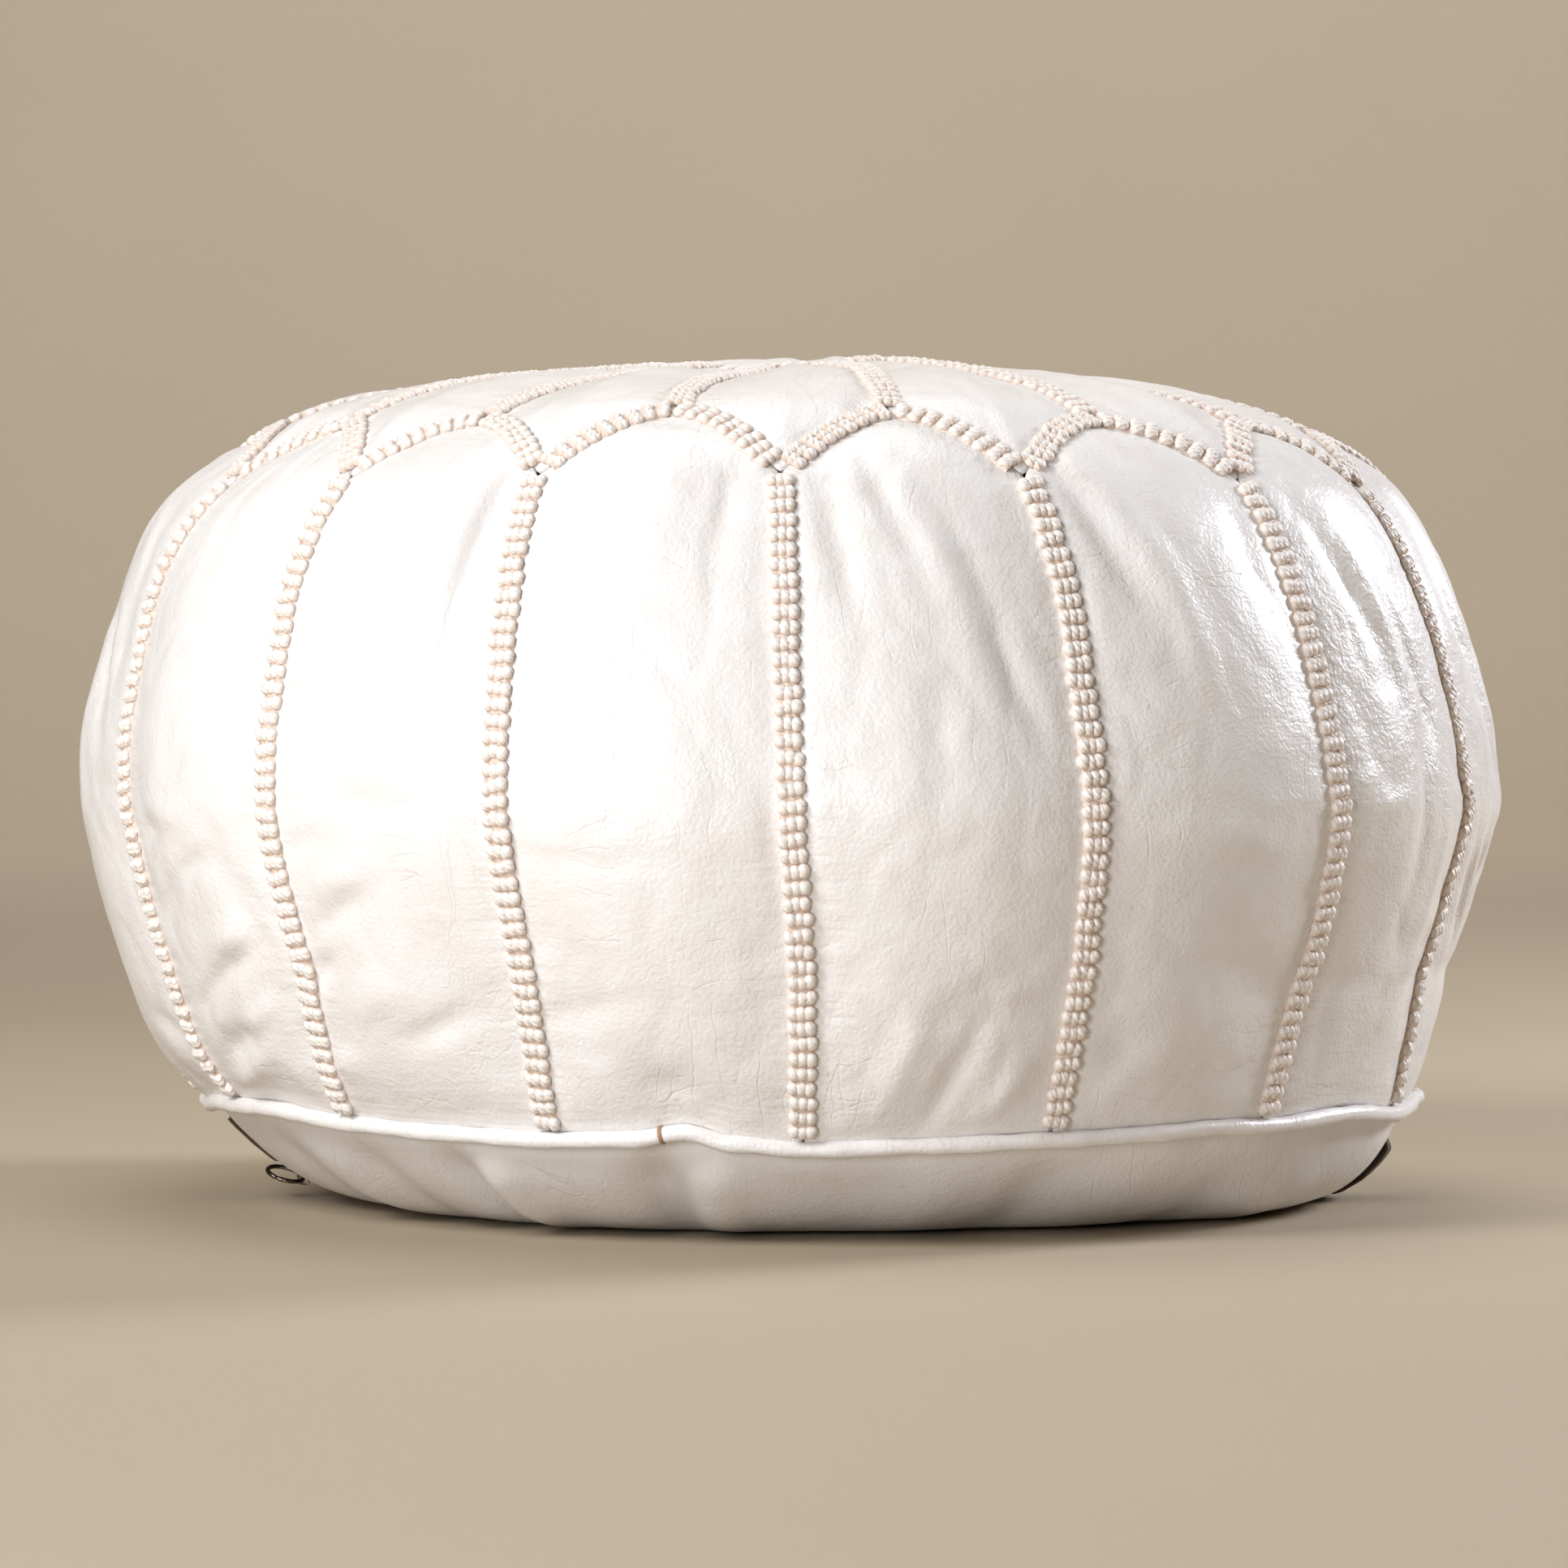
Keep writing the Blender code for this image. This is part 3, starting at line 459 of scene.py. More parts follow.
def white_goat_leather():
    """Vegetable-tanned goatskin, dyed white and rubbed with wax.

    The wax gives a soft, broad gloss. The eye sees a fine pebble of 1.5 mm, thin creases that run
    with the pull of the stuffing, a crumpled skin where it hangs slack, and a slightly warmer
    white where the hide was handled. The creases carry a darker tone, painted on as their shade.
    """
    finish, tree, shader = new_finish(
        "white_goat_leather", 0.42, Specular_IOR_Level=0.55, Coat_Weight=0.3, Coat_Roughness=0.27
    )
    hide = add_node(tree, "Attribute", out="Vector", attribute_name="hide")
    tucks = add_node(tree, "Attribute", out="Fac", attribute_name="tuck")
    crinkle = add_node(tree, "Attribute", out="Fac", attribute_name="crinkle")
    pebble = {"Vector": hide, "Scale": 1 / 0.0015, "Smoothness": 0.5}
    pebble = add_node(tree, "TexVoronoi", pebble, "Distance", feature="SMOOTH_F1")
    pores, patch, soft = (
        add_node(tree, "TexNoise", {"Vector": hide, "Scale": 1 / size, "Detail": detail})
        for size, detail in ((0.0006, 2.0), (0.05, 2.0), (0.018, 3.0))
    )
    tall_hide = add_node(tree, "Mapping", {"Vector": hide, "Scale": (1.0, 0.6, 1.0)})
    other_patch = add_node(tree, "TexNoise", {"Vector": tall_hide, "Scale": 1 / 0.034})
    creases = []
    for across, up, wander, width, where, faint, full in (
        (0.012, 0.075, 0.03, 0.03, patch, 0.5, 0.62),
        (0.045, 0.013, 0.02, 0.03, other_patch, 0.54, 0.64),
        (0.005, 0.008, 0.008, 0.09, patch, 0.42, 0.3),
    ):
        lines = crease_lines(tree, hide, (1 / across, 1 / up, 1.0), 1 / wander, width)
        shown = add_node(tree, "MapRange", {0: where, 1: faint, 2: full})
        creases.append(add_node(tree, "Math", {0: lines, 1: shown}, operation="MULTIPLY"))
    tall, slant, fine = creases
    gathers = add_node(tree, "Mapping", {"Vector": hide, "Scale": (30.0, 260.0, 1.0)})
    puckers = add_node(tree, "TexNoise", {"Vector": gathers, "Scale": 1.0, "Detail": 2.0})
    puckers = add_node(tree, "Math", {0: puckers, 1: tucks}, operation="MULTIPLY")
    rumples = {"Scale": 1 / 0.0046, "Detail": 3.0, "Roughness": 0.62, "Distortion": 0.8}
    rumples = add_node(tree, "TexNoise", {"Vector": hide, **rumples})
    rumples = add_node(tree, "Math", {0: rumples, 1: crinkle}, operation="MULTIPLY")
    normal = bump_chain(
        tree,
        (soft, 0.0016, 0.35),
        (puckers, 0.0018, 0.4),
        (rumples, 0.0013, 0.8),
        (tall, -0.0003, 0.4),
        (slant, -0.0003, 0.4),
        (fine, -0.0003, 0.35),
        (pebble, 0.0003, 0.5),
        (pores, 0.00008, 0.35),
    )
    clean, handled, crease_shade_tone = linear("#F2F0EE"), linear("#EBE6E1"), linear("#D8CEC5")
    touched = add_node(tree, "MapRange", {0: soft, 1: 0.35, 2: 0.75, 3: 0.0, 4: 0.7})
    base = add_node(tree, "Mix", {0: touched, 6: clean, 7: handled}, 2, data_type="RGBA")
    # Painted shade: the tall and slanting crease lines are darkened towards a warm grey, standing
    # in for the shade in them.
    wear_and_crease_shade = add_node(tree, "Math", {0: tall, 1: slant}, operation="MAXIMUM")
    wear_and_crease_shade = add_node(tree, "Math", {0: wear_and_crease_shade, 1: 0.15}, operation="MULTIPLY")
    base = add_node(tree, "Mix", {0: wear_and_crease_shade, 6: base, 7: crease_shade_tone}, 2, data_type="RGBA")
    rough = add_node(tree, "MapRange", {0: pores, 1: 0.3, 2: 0.7, 3: 0.34, 4: 0.46})
    return wired(finish, shader, Base_Color=base, Normal=normal, Roughness=rough)


def cream_braid_thread():
    """Mercerised cotton and viscose thread, twisted and hand-stitched.

    Each knot shines softly along its strands; a tan is painted as shade into the tucks and under
    the knots.
    """
    finish, tree, shader = new_finish(
        "cream_braid_thread", 0.5, Sheen_Weight=0.25, Sheen_Roughness=0.4
    )
    lie = add_node(tree, "Attribute", out="Vector", attribute_name="strand")
    depth = add_node(tree, "Attribute", out="Fac", attribute_name="tuck")
    strands = {"Vector": lie, "Scale": 1 / 0.0045, "Distortion": 1.5, "Detail": 1.0}
    strands = add_node(tree, "TexWave", strands, "Fac", bands_direction="DIAGONAL")
    fluff = add_node(tree, "TexNoise", {"Vector": lie, "Scale": 1 / 0.0009, "Detail": 2.0})
    normal = bump_chain(tree, (strands, 0.0004, 0.6), (fluff, 0.0002, 0.4))
    # Painted shade: the tan stands in for the shade in the tucks between and under the knots, by
    # the tuck mask.
    cream, tan = linear("#F7F1EB"), linear("#DCC6B4")
    uneven = add_node(tree, "MapRange", {0: fluff, 1: 0.2, 2: 0.8, 3: 0.75, 4: 1.0})
    shade = add_node(tree, "Math", {0: depth, 1: uneven}, operation="MULTIPLY")
    tone = add_node(tree, "Mix", {0: shade, 6: cream, 7: tan}, 2, data_type="RGBA")
    return wired(finish, shader, Normal=normal, Base_Color=tone)


def raw_leather_edge():
    """The cut edge of the dyed hide: bare brown fibre, matt and a little furry."""
    finish, tree, shader = new_finish("raw_leather_edge", 0.85)
    place = add_node(tree, "TexCoord", out="Object")
    fibre = add_node(tree, "TexNoise", {"Vector": place, "Scale": 1 / 0.0006, "Detail": 3.0})
    tones = {0: fibre, 6: linear("#8A6A4C"), 7: linear("#B8946E")}
    tone = add_node(tree, "Mix", tones, 2, data_type="RGBA")
    return wired(finish, shader, Base_Color=tone, Normal=bump_chain(tree, (fibre, 0.0003, 0.6)))


def brown_zip_tape():
    """Woven polyester tape: ribs of 0.7 mm along it, crossed by finer picks, matt brown."""
    finish, tree, shader = new_finish("brown_zip_tape", 0.8, Sheen_Weight=0.2)
    place = add_node(tree, "TexCoord", out="Object")
    ribs, picks = (
        add_node(
            tree,
            "TexWave",
            {"Vector": place, "Scale": waves_of(spacing), "Distortion": 0.3},
            "Fac",
            bands_direction=way,
        )
        for spacing, way in ((0.0007, "Y"), (0.0005, "X"))
    )
    weave = add_node(tree, "Math", {0: ribs, 1: picks}, operation="MULTIPLY")
    wear_and_crease_shade = add_node(tree, "TexNoise", {"Vector": place, "Scale": 1 / 0.01, "Detail": 3.0})
    wear_and_crease_shade = add_node(tree, "MapRange", {0: wear_and_crease_shade, 1: 0.5, 2: 0.8, 3: 0.0, 4: 0.3})
    tones = {0: weave, 6: linear("#2B1A10"), 7: linear("#6B4629")}
    tone = add_node(tree, "Mix", tones, 2, data_type="RGBA")
    tone = add_node(tree, "Mix", {0: wear_and_crease_shade, 6: tone, 7: linear("#8A6A4A")}, 2, data_type="RGBA")
    normal = bump_chain(tree, (ribs, 0.0003, 0.5), (picks, 0.0002, 0.4))
    return wired(finish, shader, Base_Color=tone, Normal=normal)


def waves_of(spacing):
    """The scale of a wave texture whose bands lie that many metres apart."""
    return 1 / (spacing * 20 / (2 * math.pi))


def gunmetal_zip_steel():
    """Pressed and tumbled steel with a dark plating that has rubbed bright in places."""
    finish, tree, shader = new_finish("gunmetal_zip_steel", 0.3, Metallic=1.0)
    place = add_node(tree, "TexCoord", out="Object")
    rubbed = add_node(tree, "TexNoise", {"Vector": place, "Scale": 1 / 0.003, "Detail": 3.0})
    rubbed = add_node(tree, "MapRange", {0: rubbed, 1: 0.45, 2: 0.7})
    drawn = add_node(tree, "Mapping", {"Vector": place, "Scale": (1.0, 6.0, 1.0)})
    scratches = add_node(tree, "TexNoise", {"Vector": drawn, "Scale": 1 / 0.0016})
    tones = {0: rubbed, 6: linear("#665E56"), 7: linear("#B9B1A7")}
    tone = add_node(tree, "Mix", tones, 2, data_type="RGBA")
    rough = add_node(tree, "MapRange", {0: scratches, 1: 0.3, 2: 0.7, 3: 0.2, 4: 0.42})
    normal = bump_chain(tree, (scratches, 0.00008, 0.4))
    return wired(finish, shader, Base_Color=tone, Roughness=rough, Normal=normal)


def calico_cotton():
    """Unbleached plain-woven cotton of the inner bag: a 0.8 mm weave with dark seed specks."""
    finish, tree, shader = new_finish("calico_cotton", 0.9)
    place = add_node(tree, "TexCoord", out="Object")
    bands = {"Vector": place, "Scale": waves_of(0.0008), "Distortion": 0.6}
    one, other = (
        add_node(tree, "TexWave", bands, "Fac", bands_direction=way) for way in ("DIAGONAL", "Z")
    )
    weave = add_node(tree, "Math", {0: one, 1: other}, operation="MULTIPLY")
    specks = add_node(tree, "TexNoise", {"Vector": place, "Scale": 1 / 0.002, "Detail": 1.0})
    specks = add_node(tree, "MapRange", {0: specks, 1: 0.7, 2: 0.78})
    tones = {0: weave, 6: linear("#CFC3AC"), 7: linear("#E9E0CD")}
    tone = add_node(tree, "Mix", tones, 2, data_type="RGBA")
    tone = add_node(tree, "Mix", {0: specks, 6: tone, 7: linear("#8C7656")}, 2, data_type="RGBA")
    return wired(finish, shader, Base_Color=tone, Normal=bump_chain(tree, (weave, 0.0003, 0.5)))


def carded_wool():
    """Loose carded wool and cotton waste: off-white, matt, with soft tangled clumps."""
    finish, tree, shader = new_finish("carded_wool", 1.0, Sheen_Weight=0.3)
    place = add_node(tree, "TexCoord", out="Object")
    clumps = add_node(tree, "TexNoise", {"Vector": place, "Scale": 1 / 0.02, "Detail": 6.0})
    tones = {0: clumps, 6: linear("#CFC9BC"), 7: linear("#F0ECE2")}
    tone = add_node(tree, "Mix", tones, 2, data_type="RGBA")
    return wired(finish, shader, Base_Color=tone, Normal=bump_chain(tree, (clumps, 0.004, 0.8)))


def pale_studio_floor():
    """Plain painted studio sweep, matt with faint unevenness."""
    finish, tree, shader = new_finish("pale_studio_floor", 0.75)
    place = add_node(tree, "TexCoord", out="Object")
    cloud = add_node(tree, "TexNoise", {"Vector": place, "Scale": 1.3, "Detail": 3.0})
    tones = {0: cloud, 6: linear("#AD9F88"), 7: linear("#B4A68F")}
    return wired(finish, shader, Base_Color=add_node(tree, "Mix", tones, 2, data_type="RGBA"))


LEATHER = white_goat_leather()
THREAD = cream_braid_thread()
RAW_EDGE = raw_leather_edge()
TAPE = brown_zip_tape()
METAL = gunmetal_zip_steel()
COTTON = calico_cotton()
WOOL = carded_wool()

# ---------------------------------------------------------------- folds in the leather

# Folds listed one by one: degrees from the front, height along the hide, width, length, lean in
# degrees, and depth out of the hide. Negative is a dent. Metres, except for the angles.
FOLDS = (
    (-26.0, 0.222, 0.0038, 0.030, 8, -0.0050),
    (-23.6, 0.215, 0.0070, 0.034, 4, 0.0022),
    (-30.0, 0.230, 0.012, 0.030, 10, 0.0016),
    (-62.0, 0.112, 0.013, 0.0042, -14, -0.0024),
    (-57.5, 0.119, 0.012, 0.0050, -8, 0.0016),
    (-55.0, 0.101, 0.015, 0.0046, -20, -0.0022),
    (-60.5, 0.087, 0.014, 0.0052, -30, -0.0024),
    (-52.5, 0.074, 0.015, 0.0060, -26, 0.0020),
    (-54.0, 0.062, 0.017, 0.0048, -28, -0.0027),
    (-59.0, 0.050, 0.015, 0.0048, -36, -0.0023),
    (-52.0, 0.042, 0.013, 0.0050, -34, 0.0019),
    (-56.5, 0.030, 0.019, 0.0058, -26, -0.0030),
    (-57.5, 0.016, 0.022, 0.0062, -26, 0.0031),
    (-33.0, 0.124, 0.020, 0.0040, 6, -0.0014),
    (-41.5, 0.110, 0.013, 0.0044, -18, -0.0020),
    (-38.0, 0.098, 0.014, 0.0060, -14, 0.0015),
    (-38.5, 0.086, 0.019, 0.0050, -26, -0.0020),
    (-43.0, 0.062, 0.014, 0.0052, -32, -0.0022),
    (-36.0, 0.056, 0.014, 0.0070, -24, 0.0015),
    (-31.0, 0.044, 0.018, 0.0052, -20, -0.0018),
    (-43.0, 0.026, 0.014, 0.0050, -12, 0.0018),
    (-18.0, 0.106, 0.020, 0.0046, 4, -0.0009),
    (-17.0, 0.052, 0.018, 0.0052, -10, -0.0010),
    (-11.5, 0.020, 0.012, 0.0056, 16, -0.0011),
    (-10.0, 0.235, 0.008, 0.030, 12, 0.0016),
    (-4.6, 0.230, 0.005, 0.026, 10, -0.0014),
    (4.5, 0.222, 0.006, 0.030, -6, -0.0020),
    (9.0, 0.238, 0.0050, 0.030, -14, -0.0017),
    (12.5, 0.210, 0.007, 0.045, -16, 0.0013),
    (15.5, 0.200, 0.006, 0.045, -14, -0.0013),
    (8.0, 0.030, 0.006, 0.022, 18, 0.0018),
    (12.5, 0.028, 0.005, 0.022, 24, -0.0022),
    (17.0, 0.020, 0.006, 0.016, 30, 0.0016),
    (27.0, 0.225, 0.006, 0.032, -14, -0.0022),
    (31.5, 0.200, 0.007, 0.040, -12, 0.0018),
    (33.0, 0.112, 0.024, 0.007, 8, 0.0022),
    (37.0, 0.060, 0.020, 0.010, 14, -0.0020),
    (27.0, 0.035, 0.012, 0.008, 20, -0.0018),
    (52.0, 0.205, 0.0050, 0.030, -16, -0.0020),
    (55.5, 0.190, 0.0050, 0.034, -12, 0.0014),
    (58.5, 0.178, 0.0050, 0.030, -14, -0.0016),
    (58.0, 0.145, 0.0060, 0.024, 24, -0.0018),
    (50.0, 0.122, 0.016, 0.0050, -10, 0.0014),
    (56.0, 0.108, 0.0055, 0.026, 8, -0.0017),
    (60.0, 0.100, 0.0050, 0.030, 10, 0.0013),
    (55.0, 0.070, 0.012, 0.010, 20, -0.0013),
    (60.0, 0.055, 0.008, 0.016, 28, 0.0012),
    (76.0, 0.200, 0.0045, 0.040, -6, -0.0020),
    (79.0, 0.150, 0.0045, 0.040, 4, 0.0017),
    (81.0, 0.130, 0.0040, 0.046, 6, -0.0020),
    (84.0, 0.085, 0.0045, 0.036, 10, 0.0017),
)
RANDOM_FOLDS = 150


def all_folds():
    """The listed folds of the front, and quieter random ones for the rest."""
    chance = np.random.default_rng(7)
    folds = [list(fold) for fold in FOLDS]
    for _ in range(RANDOM_FOLDS):
        turn = chance.uniform(68, 292)
        upright = chance.random() < 0.55
        width, length = (0.007, 0.03) if upright else (0.018, 0.007)
        size = chance.uniform(0.7, 1.3)
        depth = chance.choice((-0.0024, 0.0016)) * chance.uniform(0.5, 1.1)
        lean = chance.uniform(-28, 28)
        along = chance.uniform(0.03, 0.36)
        folds.append([turn, along, width * size, length * size, lean, depth])
    for _ in range(RANDOM_FOLDS // 2):
        turn = chance.uniform(-66, 66)
        depth = chance.choice((-0.0011, 0.0008)) * chance.uniform(0.5, 1.2)
        along = chance.uniform(0.03, 0.38)
        width, length = (0.006, 0.022) if chance.random() < 0.6 else (0.016, 0.006)
        folds.append([turn, along, width, length, chance.uniform(-30, 30), depth])
    return np.array(folds)


ALL_FOLDS = all_folds()


def fold_lift(angle, along):
    """The sum of all folds at places on the hide."""
    lift = np.zeros_like(angle)
    for turn, centre, width, length, lean, depth in ALL_FOLDS:
        far = turn_difference(angle, front_angle(turn))
        near = np.abs(far) < 0.45
        across = far[near] * np.maximum(outline_radius(along[near]), 0.05)
        up = along[near] - centre
        c, s = math.cos(math.radians(lean)), math.sin(math.radians(lean))
        x, y = across * c - up * s, across * s + up * c
        lift[near] += depth * np.exp(-((x / width) ** 2) - (y / length) ** 2)
    return lift


# ---------------------------------------------------------------- leather cover

PANEL_COLUMNS = 26
PANEL_ROWS = 62
PETAL_ROWS = 34
WELD = 2e-5

# The simulation that fills the cover out; negative shrinks let the leather grow
CLOTH_FRAMES = 20
SWELL_LIMIT = 0.0065
SEAM_HELD = 0.0002
GATHER_WIDTH = 0.016
LEATHER_CLOTH = {
    "quality": 5,
    "mass": 0.4,
    "tension_stiffness": 30,
    "compression_stiffness": 30,
    "shear_stiffness": 8,
    "bending_stiffness": 1.2,
    "shrink_min": -0.004,
    "shrink_max": -0.045,
    "use_pressure": True,
    "uniform_pressure_force": 4,
}

# The plain rise of a stuffed panel, and the groove beside its seams
PANEL_RISE, PANEL_RISE_WIDTH = 0.0036, 0.045
SEAM_GROOVE, SEAM_GROOVE_WIDTH = 0.0007, 0.007

# Crumples: size across and along the hide, and depth
VALLEYS = (0.024, 0.036, 0.0018)
VALLEY_BAND = 0.2
RIPPLES = (0.0085, 0.0105, 0.00018)

# Where light rakes the slack hide and shows it crumpled: degrees from the front, along the hide
SLACK_TURN, SLACK_TURN_WIDTH = 57, 15
SLACK_ALONG, SLACK_ALONG_WIDTH = 0.19, 0.07


def cover_layout():
    """For each side panel and petal: its middle angle, its places across as shares of half its
    width, where its foot and its top run along the hide, and its rows."""
    share = np.linspace(-1, 1, PANEL_COLUMNS + 1)
    grids = []
    for i in range(PANEL_COUNT):
        middle = FIRST_SEAM_ANGLE + (i + 0.5) * PANEL_ANGLE
        foot = np.zeros_like(share) + PANEL_FOOT
        grids.append((middle, share, foot, arch_along(share), PANEL_ROWS))
    for i in range(PANEL_COUNT):
        middle = FIRST_SEAM_ANGLE + i * PANEL_ANGLE
        foot = arch_along(1 - np.abs(share))
        top = np.zeros_like(share) + MEDALLION_ALONG
        grids.append((middle, share, foot, top, PETAL_ROWS))
    return grids


def build_cover():
    """One sheet of all panels and petals, joined at their seams, with its laid-out values.

    These are each point's angle, place along the hide, distance to a seam and place on the flat
    leather, and each face's corners and panel.
    """
    angles, alongs, edges, hides, quads, owners = [], [], [], [], [], []
    start = 0
    for owner, (middle, share, low, high, rows) in enumerate(cover_layout()):
        up = np.linspace(0, 1, rows + 1)[:, None]
        along = low + (high - low) * up
        angle = middle + share * PANEL_ANGLE / 2 + 0 * along
        half = outline_radius(along) * PANEL_ANGLE / 2
        to_side = (1 - np.abs(share)) * half
        to_end = np.minimum(along - low, high - along)
        hide = np.stack([share * half, along, np.full_like(along, owner * 0.37)], -1)
        faces = start + grid_faces(rows, len(share))
        angles.append(angle.ravel())
        alongs.append(along.ravel())
        edges.append(np.minimum(to_side, to_end).ravel())
        hides.append(hide.reshape(-1, 3))
        quads.append(faces)
        owners.append(np.full(len(faces), owner))
        start += along.size
    return [np.concatenate(part) for part in (angles, alongs, edges, hides, quads, owners)]


def swell(points, quads, edge):
    """Lets the stuffing's pressure fill the leather out between its held seams."""
    places = np.round(points / WELD).astype(np.int64)
    _, first, same = np.unique(places, axis=0, return_index=True, return_inverse=True)
    same = same.ravel()
    faces = [list(dict.fromkeys(face)) for face in same[quads].tolist()]
    faces = [face for face in faces if len(face) >= 3]
    sheet = mesh_piece("cover_cloth", points[first], faces, smooth=False)
    held = sheet.vertex_groups.new(name="held_seams")
    slack = sheet.vertex_groups.new(name="gathered")
    near = edge[first]
    held.add(np.flatnonzero(near < SEAM_HELD).tolist(), 1.0, "REPLACE")
    for i, gather in enumerate(bell(near, GATHER_WIDTH).tolist()):
        slack.add([i], gather, "REPLACE")
    cloth = sheet.modifiers.new("cloth", "CLOTH")
    for setting, value in LEATHER_CLOTH.items():
        setattr(cloth.settings, setting, value)
    cloth.settings.vertex_group_mass = "held_seams"
    cloth.settings.vertex_group_shrink = "gathered"
    cloth.settings.effector_weights.gravity = 0
    cloth.collision_settings.use_collision = False
    cloth.point_cache.frame_start = 1
    cloth.point_cache.frame_end = CLOTH_FRAMES
    for step in range(1, CLOTH_FRAMES + 1):
        bpy.context.scene.frame_set(step)
    apply_modifier(sheet, "cloth")
    moved = places_of(sheet)[same] - points
    bpy.data.objects.remove(sheet)
    bpy.context.scene.frame_set(1)
    length = np.linalg.norm(moved, axis=1, keepdims=True)
    capped = SWELL_LIMIT * np.tanh(length / SWELL_LIMIT)
    return points + moved * capped / np.maximum(length, 1e-9)


def quilt_lift(edge):
    """The plain rise of a stuffed panel between its seams, which the thread draws in."""
    groove = SEAM_GROOVE * bell(edge, SEAM_GROOVE_WIDTH)
    return PANEL_RISE * smoothstep(edge / PANEL_RISE_WIDTH) - groove


def refined(piece, levels=1):
    """Smooth subdivision, applied."""
    finer = piece.modifiers.new("finer", "SUBSURF")
    finer.levels = levels
    finer.render_levels = levels
    apply_modifier(piece, "finer")


def walled(piece, thickness):
    """Gives the hide its thickness, inwards."""
    wall = piece.modifiers.new("wall", "SOLIDIFY")
    wall.thickness = thickness
    wall.offset = -1
    apply_modifier(piece, "wall")


def with_values(piece, name, kind, values):
    attribute = piece.data.attributes.new(name, kind, "POINT")
    field = "vector" if kind == "FLOAT_VECTOR" else "value"
    attribute.data.foreach_set(field, np.asarray(values, np.float32).ravel())


def values_of(piece, name):
    """A vector attribute of every vertex, as an array."""
    flat = np.empty(len(piece.data.vertices) * 3, np.float32)
    piece.data.attributes[name].data.foreach_get("vector", flat)
    return flat.reshape(-1, 3).astype(float)


def crumple_lift(hides):
    """Shallow valleys that wander over the hide every 3 cm, and a finer unevenness."""
    across, up, depth = VALLEYS
    fine_across, fine_up, fine_depth = RIPPLES
    lifts = []
    for x, y, z in hides.tolist():
        wide = noise.noise((x / across, y / up, z * 9))
        fine = noise.noise((x / fine_across + 40, y / fine_up, z * 9))
        lifts.append(-depth * max(0.0, VALLEY_BAND - abs(wide)) + fine_depth * fine)
    return np.array(lifts)


def crease_leather(piece):
    """Lifts a refined panel's vertices by its folds, fading out at the seams."""
    angle, along, edge = values_of(piece, "laid").T
    lift = fold_lift(angle, along) + crumple_lift(values_of(piece, "hide"))
    lift = lift * smoothstep(edge / 0.012)
    moved = places_of(piece) + places_of(piece, "normal") * lift[:, None]
    piece.data.vertices.foreach_set("co", moved.ravel())
    piece.data.attributes.remove(piece.data.attributes["laid"])
    piece.data.update()
    turn = np.degrees(turn_difference(angle, FIRST_SEAM_ANGLE))
    slack = bell(turn - SLACK_TURN, SLACK_TURN_WIDTH)
    slack = slack * bell(along - SLACK_ALONG, SLACK_ALONG_WIDTH)
    with_values(piece, "crinkle", "FLOAT", 0.25 + 0.75 * slack)


def leather_pieces():
    """The sixteen side panels and sixteen petals, swollen, folded and cut apart at the seams."""
    angle, along, edge, hide, quads, owner = build_cover()
    points, normals = on_cover(angle, along)
    points = swell(points, quads, edge)
    points = points + normals * quilt_lift(edge)[:, None]
    tuck = bell(edge, 0.017) * smoothstep(edge / 0.003)
    laid = np.stack([angle, along, edge], -1)
    for i in range(2 * PANEL_COUNT):
        faces = quads[owner == i]
        used, inverse = np.unique(faces, return_inverse=True)
        side = i < PANEL_COUNT
        node = f"side_panel_{i + 1:02d}" if side else f"crown_petal_{i - PANEL_COUNT + 1:02d}"
        piece = mesh_piece(f"leather_{node}", points[used], inverse.reshape(faces.shape))
        with_values(piece, "hide", "FLOAT_VECTOR", hide[used])
        with_values(piece, "tuck", "FLOAT", tuck[used])
        with_values(piece, "laid", "FLOAT_VECTOR", laid[used])
        merged(piece, WELD)
        refined(piece)
        crease_leather(piece)
        walled(piece, LEATHER_WALL)
        settle(piece, "cover", LEATHER, "white_leather", node)


def leather_medallion():
    """The round piece in the middle of the crown, slightly domed."""
    clear_selection()
    bpy.ops.mesh.primitive_circle_add(vertices=64, radius=MEDALLION_RADIUS, fill_type="NGON")
    piece = bpy.context.object
    piece.name = "leather_crown_medallion"
    bpy.ops.object.mode_set(mode="EDIT")
    for _ in range(11):
        bpy.ops.mesh.inset(thickness=MEDALLION_RADIUS / 13, depth=0)
    bpy.ops.mesh.poke()
    bpy.ops.object.mode_set(mode="OBJECT")
    flat = places_of(piece)
    radius = np.hypot(flat[:, 0], flat[:, 1])
    angle = np.arctan2(flat[:, 1], flat[:, 0])
    inside = MEDALLION_RADIUS - radius
    along = crown_along(radius)
    rise = 0.003 * smoothstep(inside / 0.04)
    crumple = 0.0012 * np.sin(7 * angle + 90 * radius)
    crumple = crumple * smoothstep(inside / 0.012) * smoothstep(radius / 0.02)
    points, _ = on_cover(angle, along, rise + crumple)
    piece.data.vertices.foreach_set("co", points.ravel())
    with_values(piece, "hide", "FLOAT_VECTOR", flat + np.array([0.0, 0.0, 12.3]))
    with_values(piece, "tuck", "FLOAT", bell(inside, 0.012))
    piece.data.shade_smooth()
    refined(piece)
    walled(piece, LEATHER_WALL)
    settle(piece, "cover", LEATHER, "white_leather", "crown_medallion")


# ---------------------------------------------------------------- braids

STITCH_ROWS = 3
STITCH_PITCH = 0.0058
STITCH_ACROSS = 0.0029
STITCH_RISE = 0.0009
STITCH_AHEAD = 0.002
BED_STEP = 0.0024
KNOT_SIZE = (STITCH_ACROSS * 1.75, STITCH_PITCH * 0.97, 0.0039)


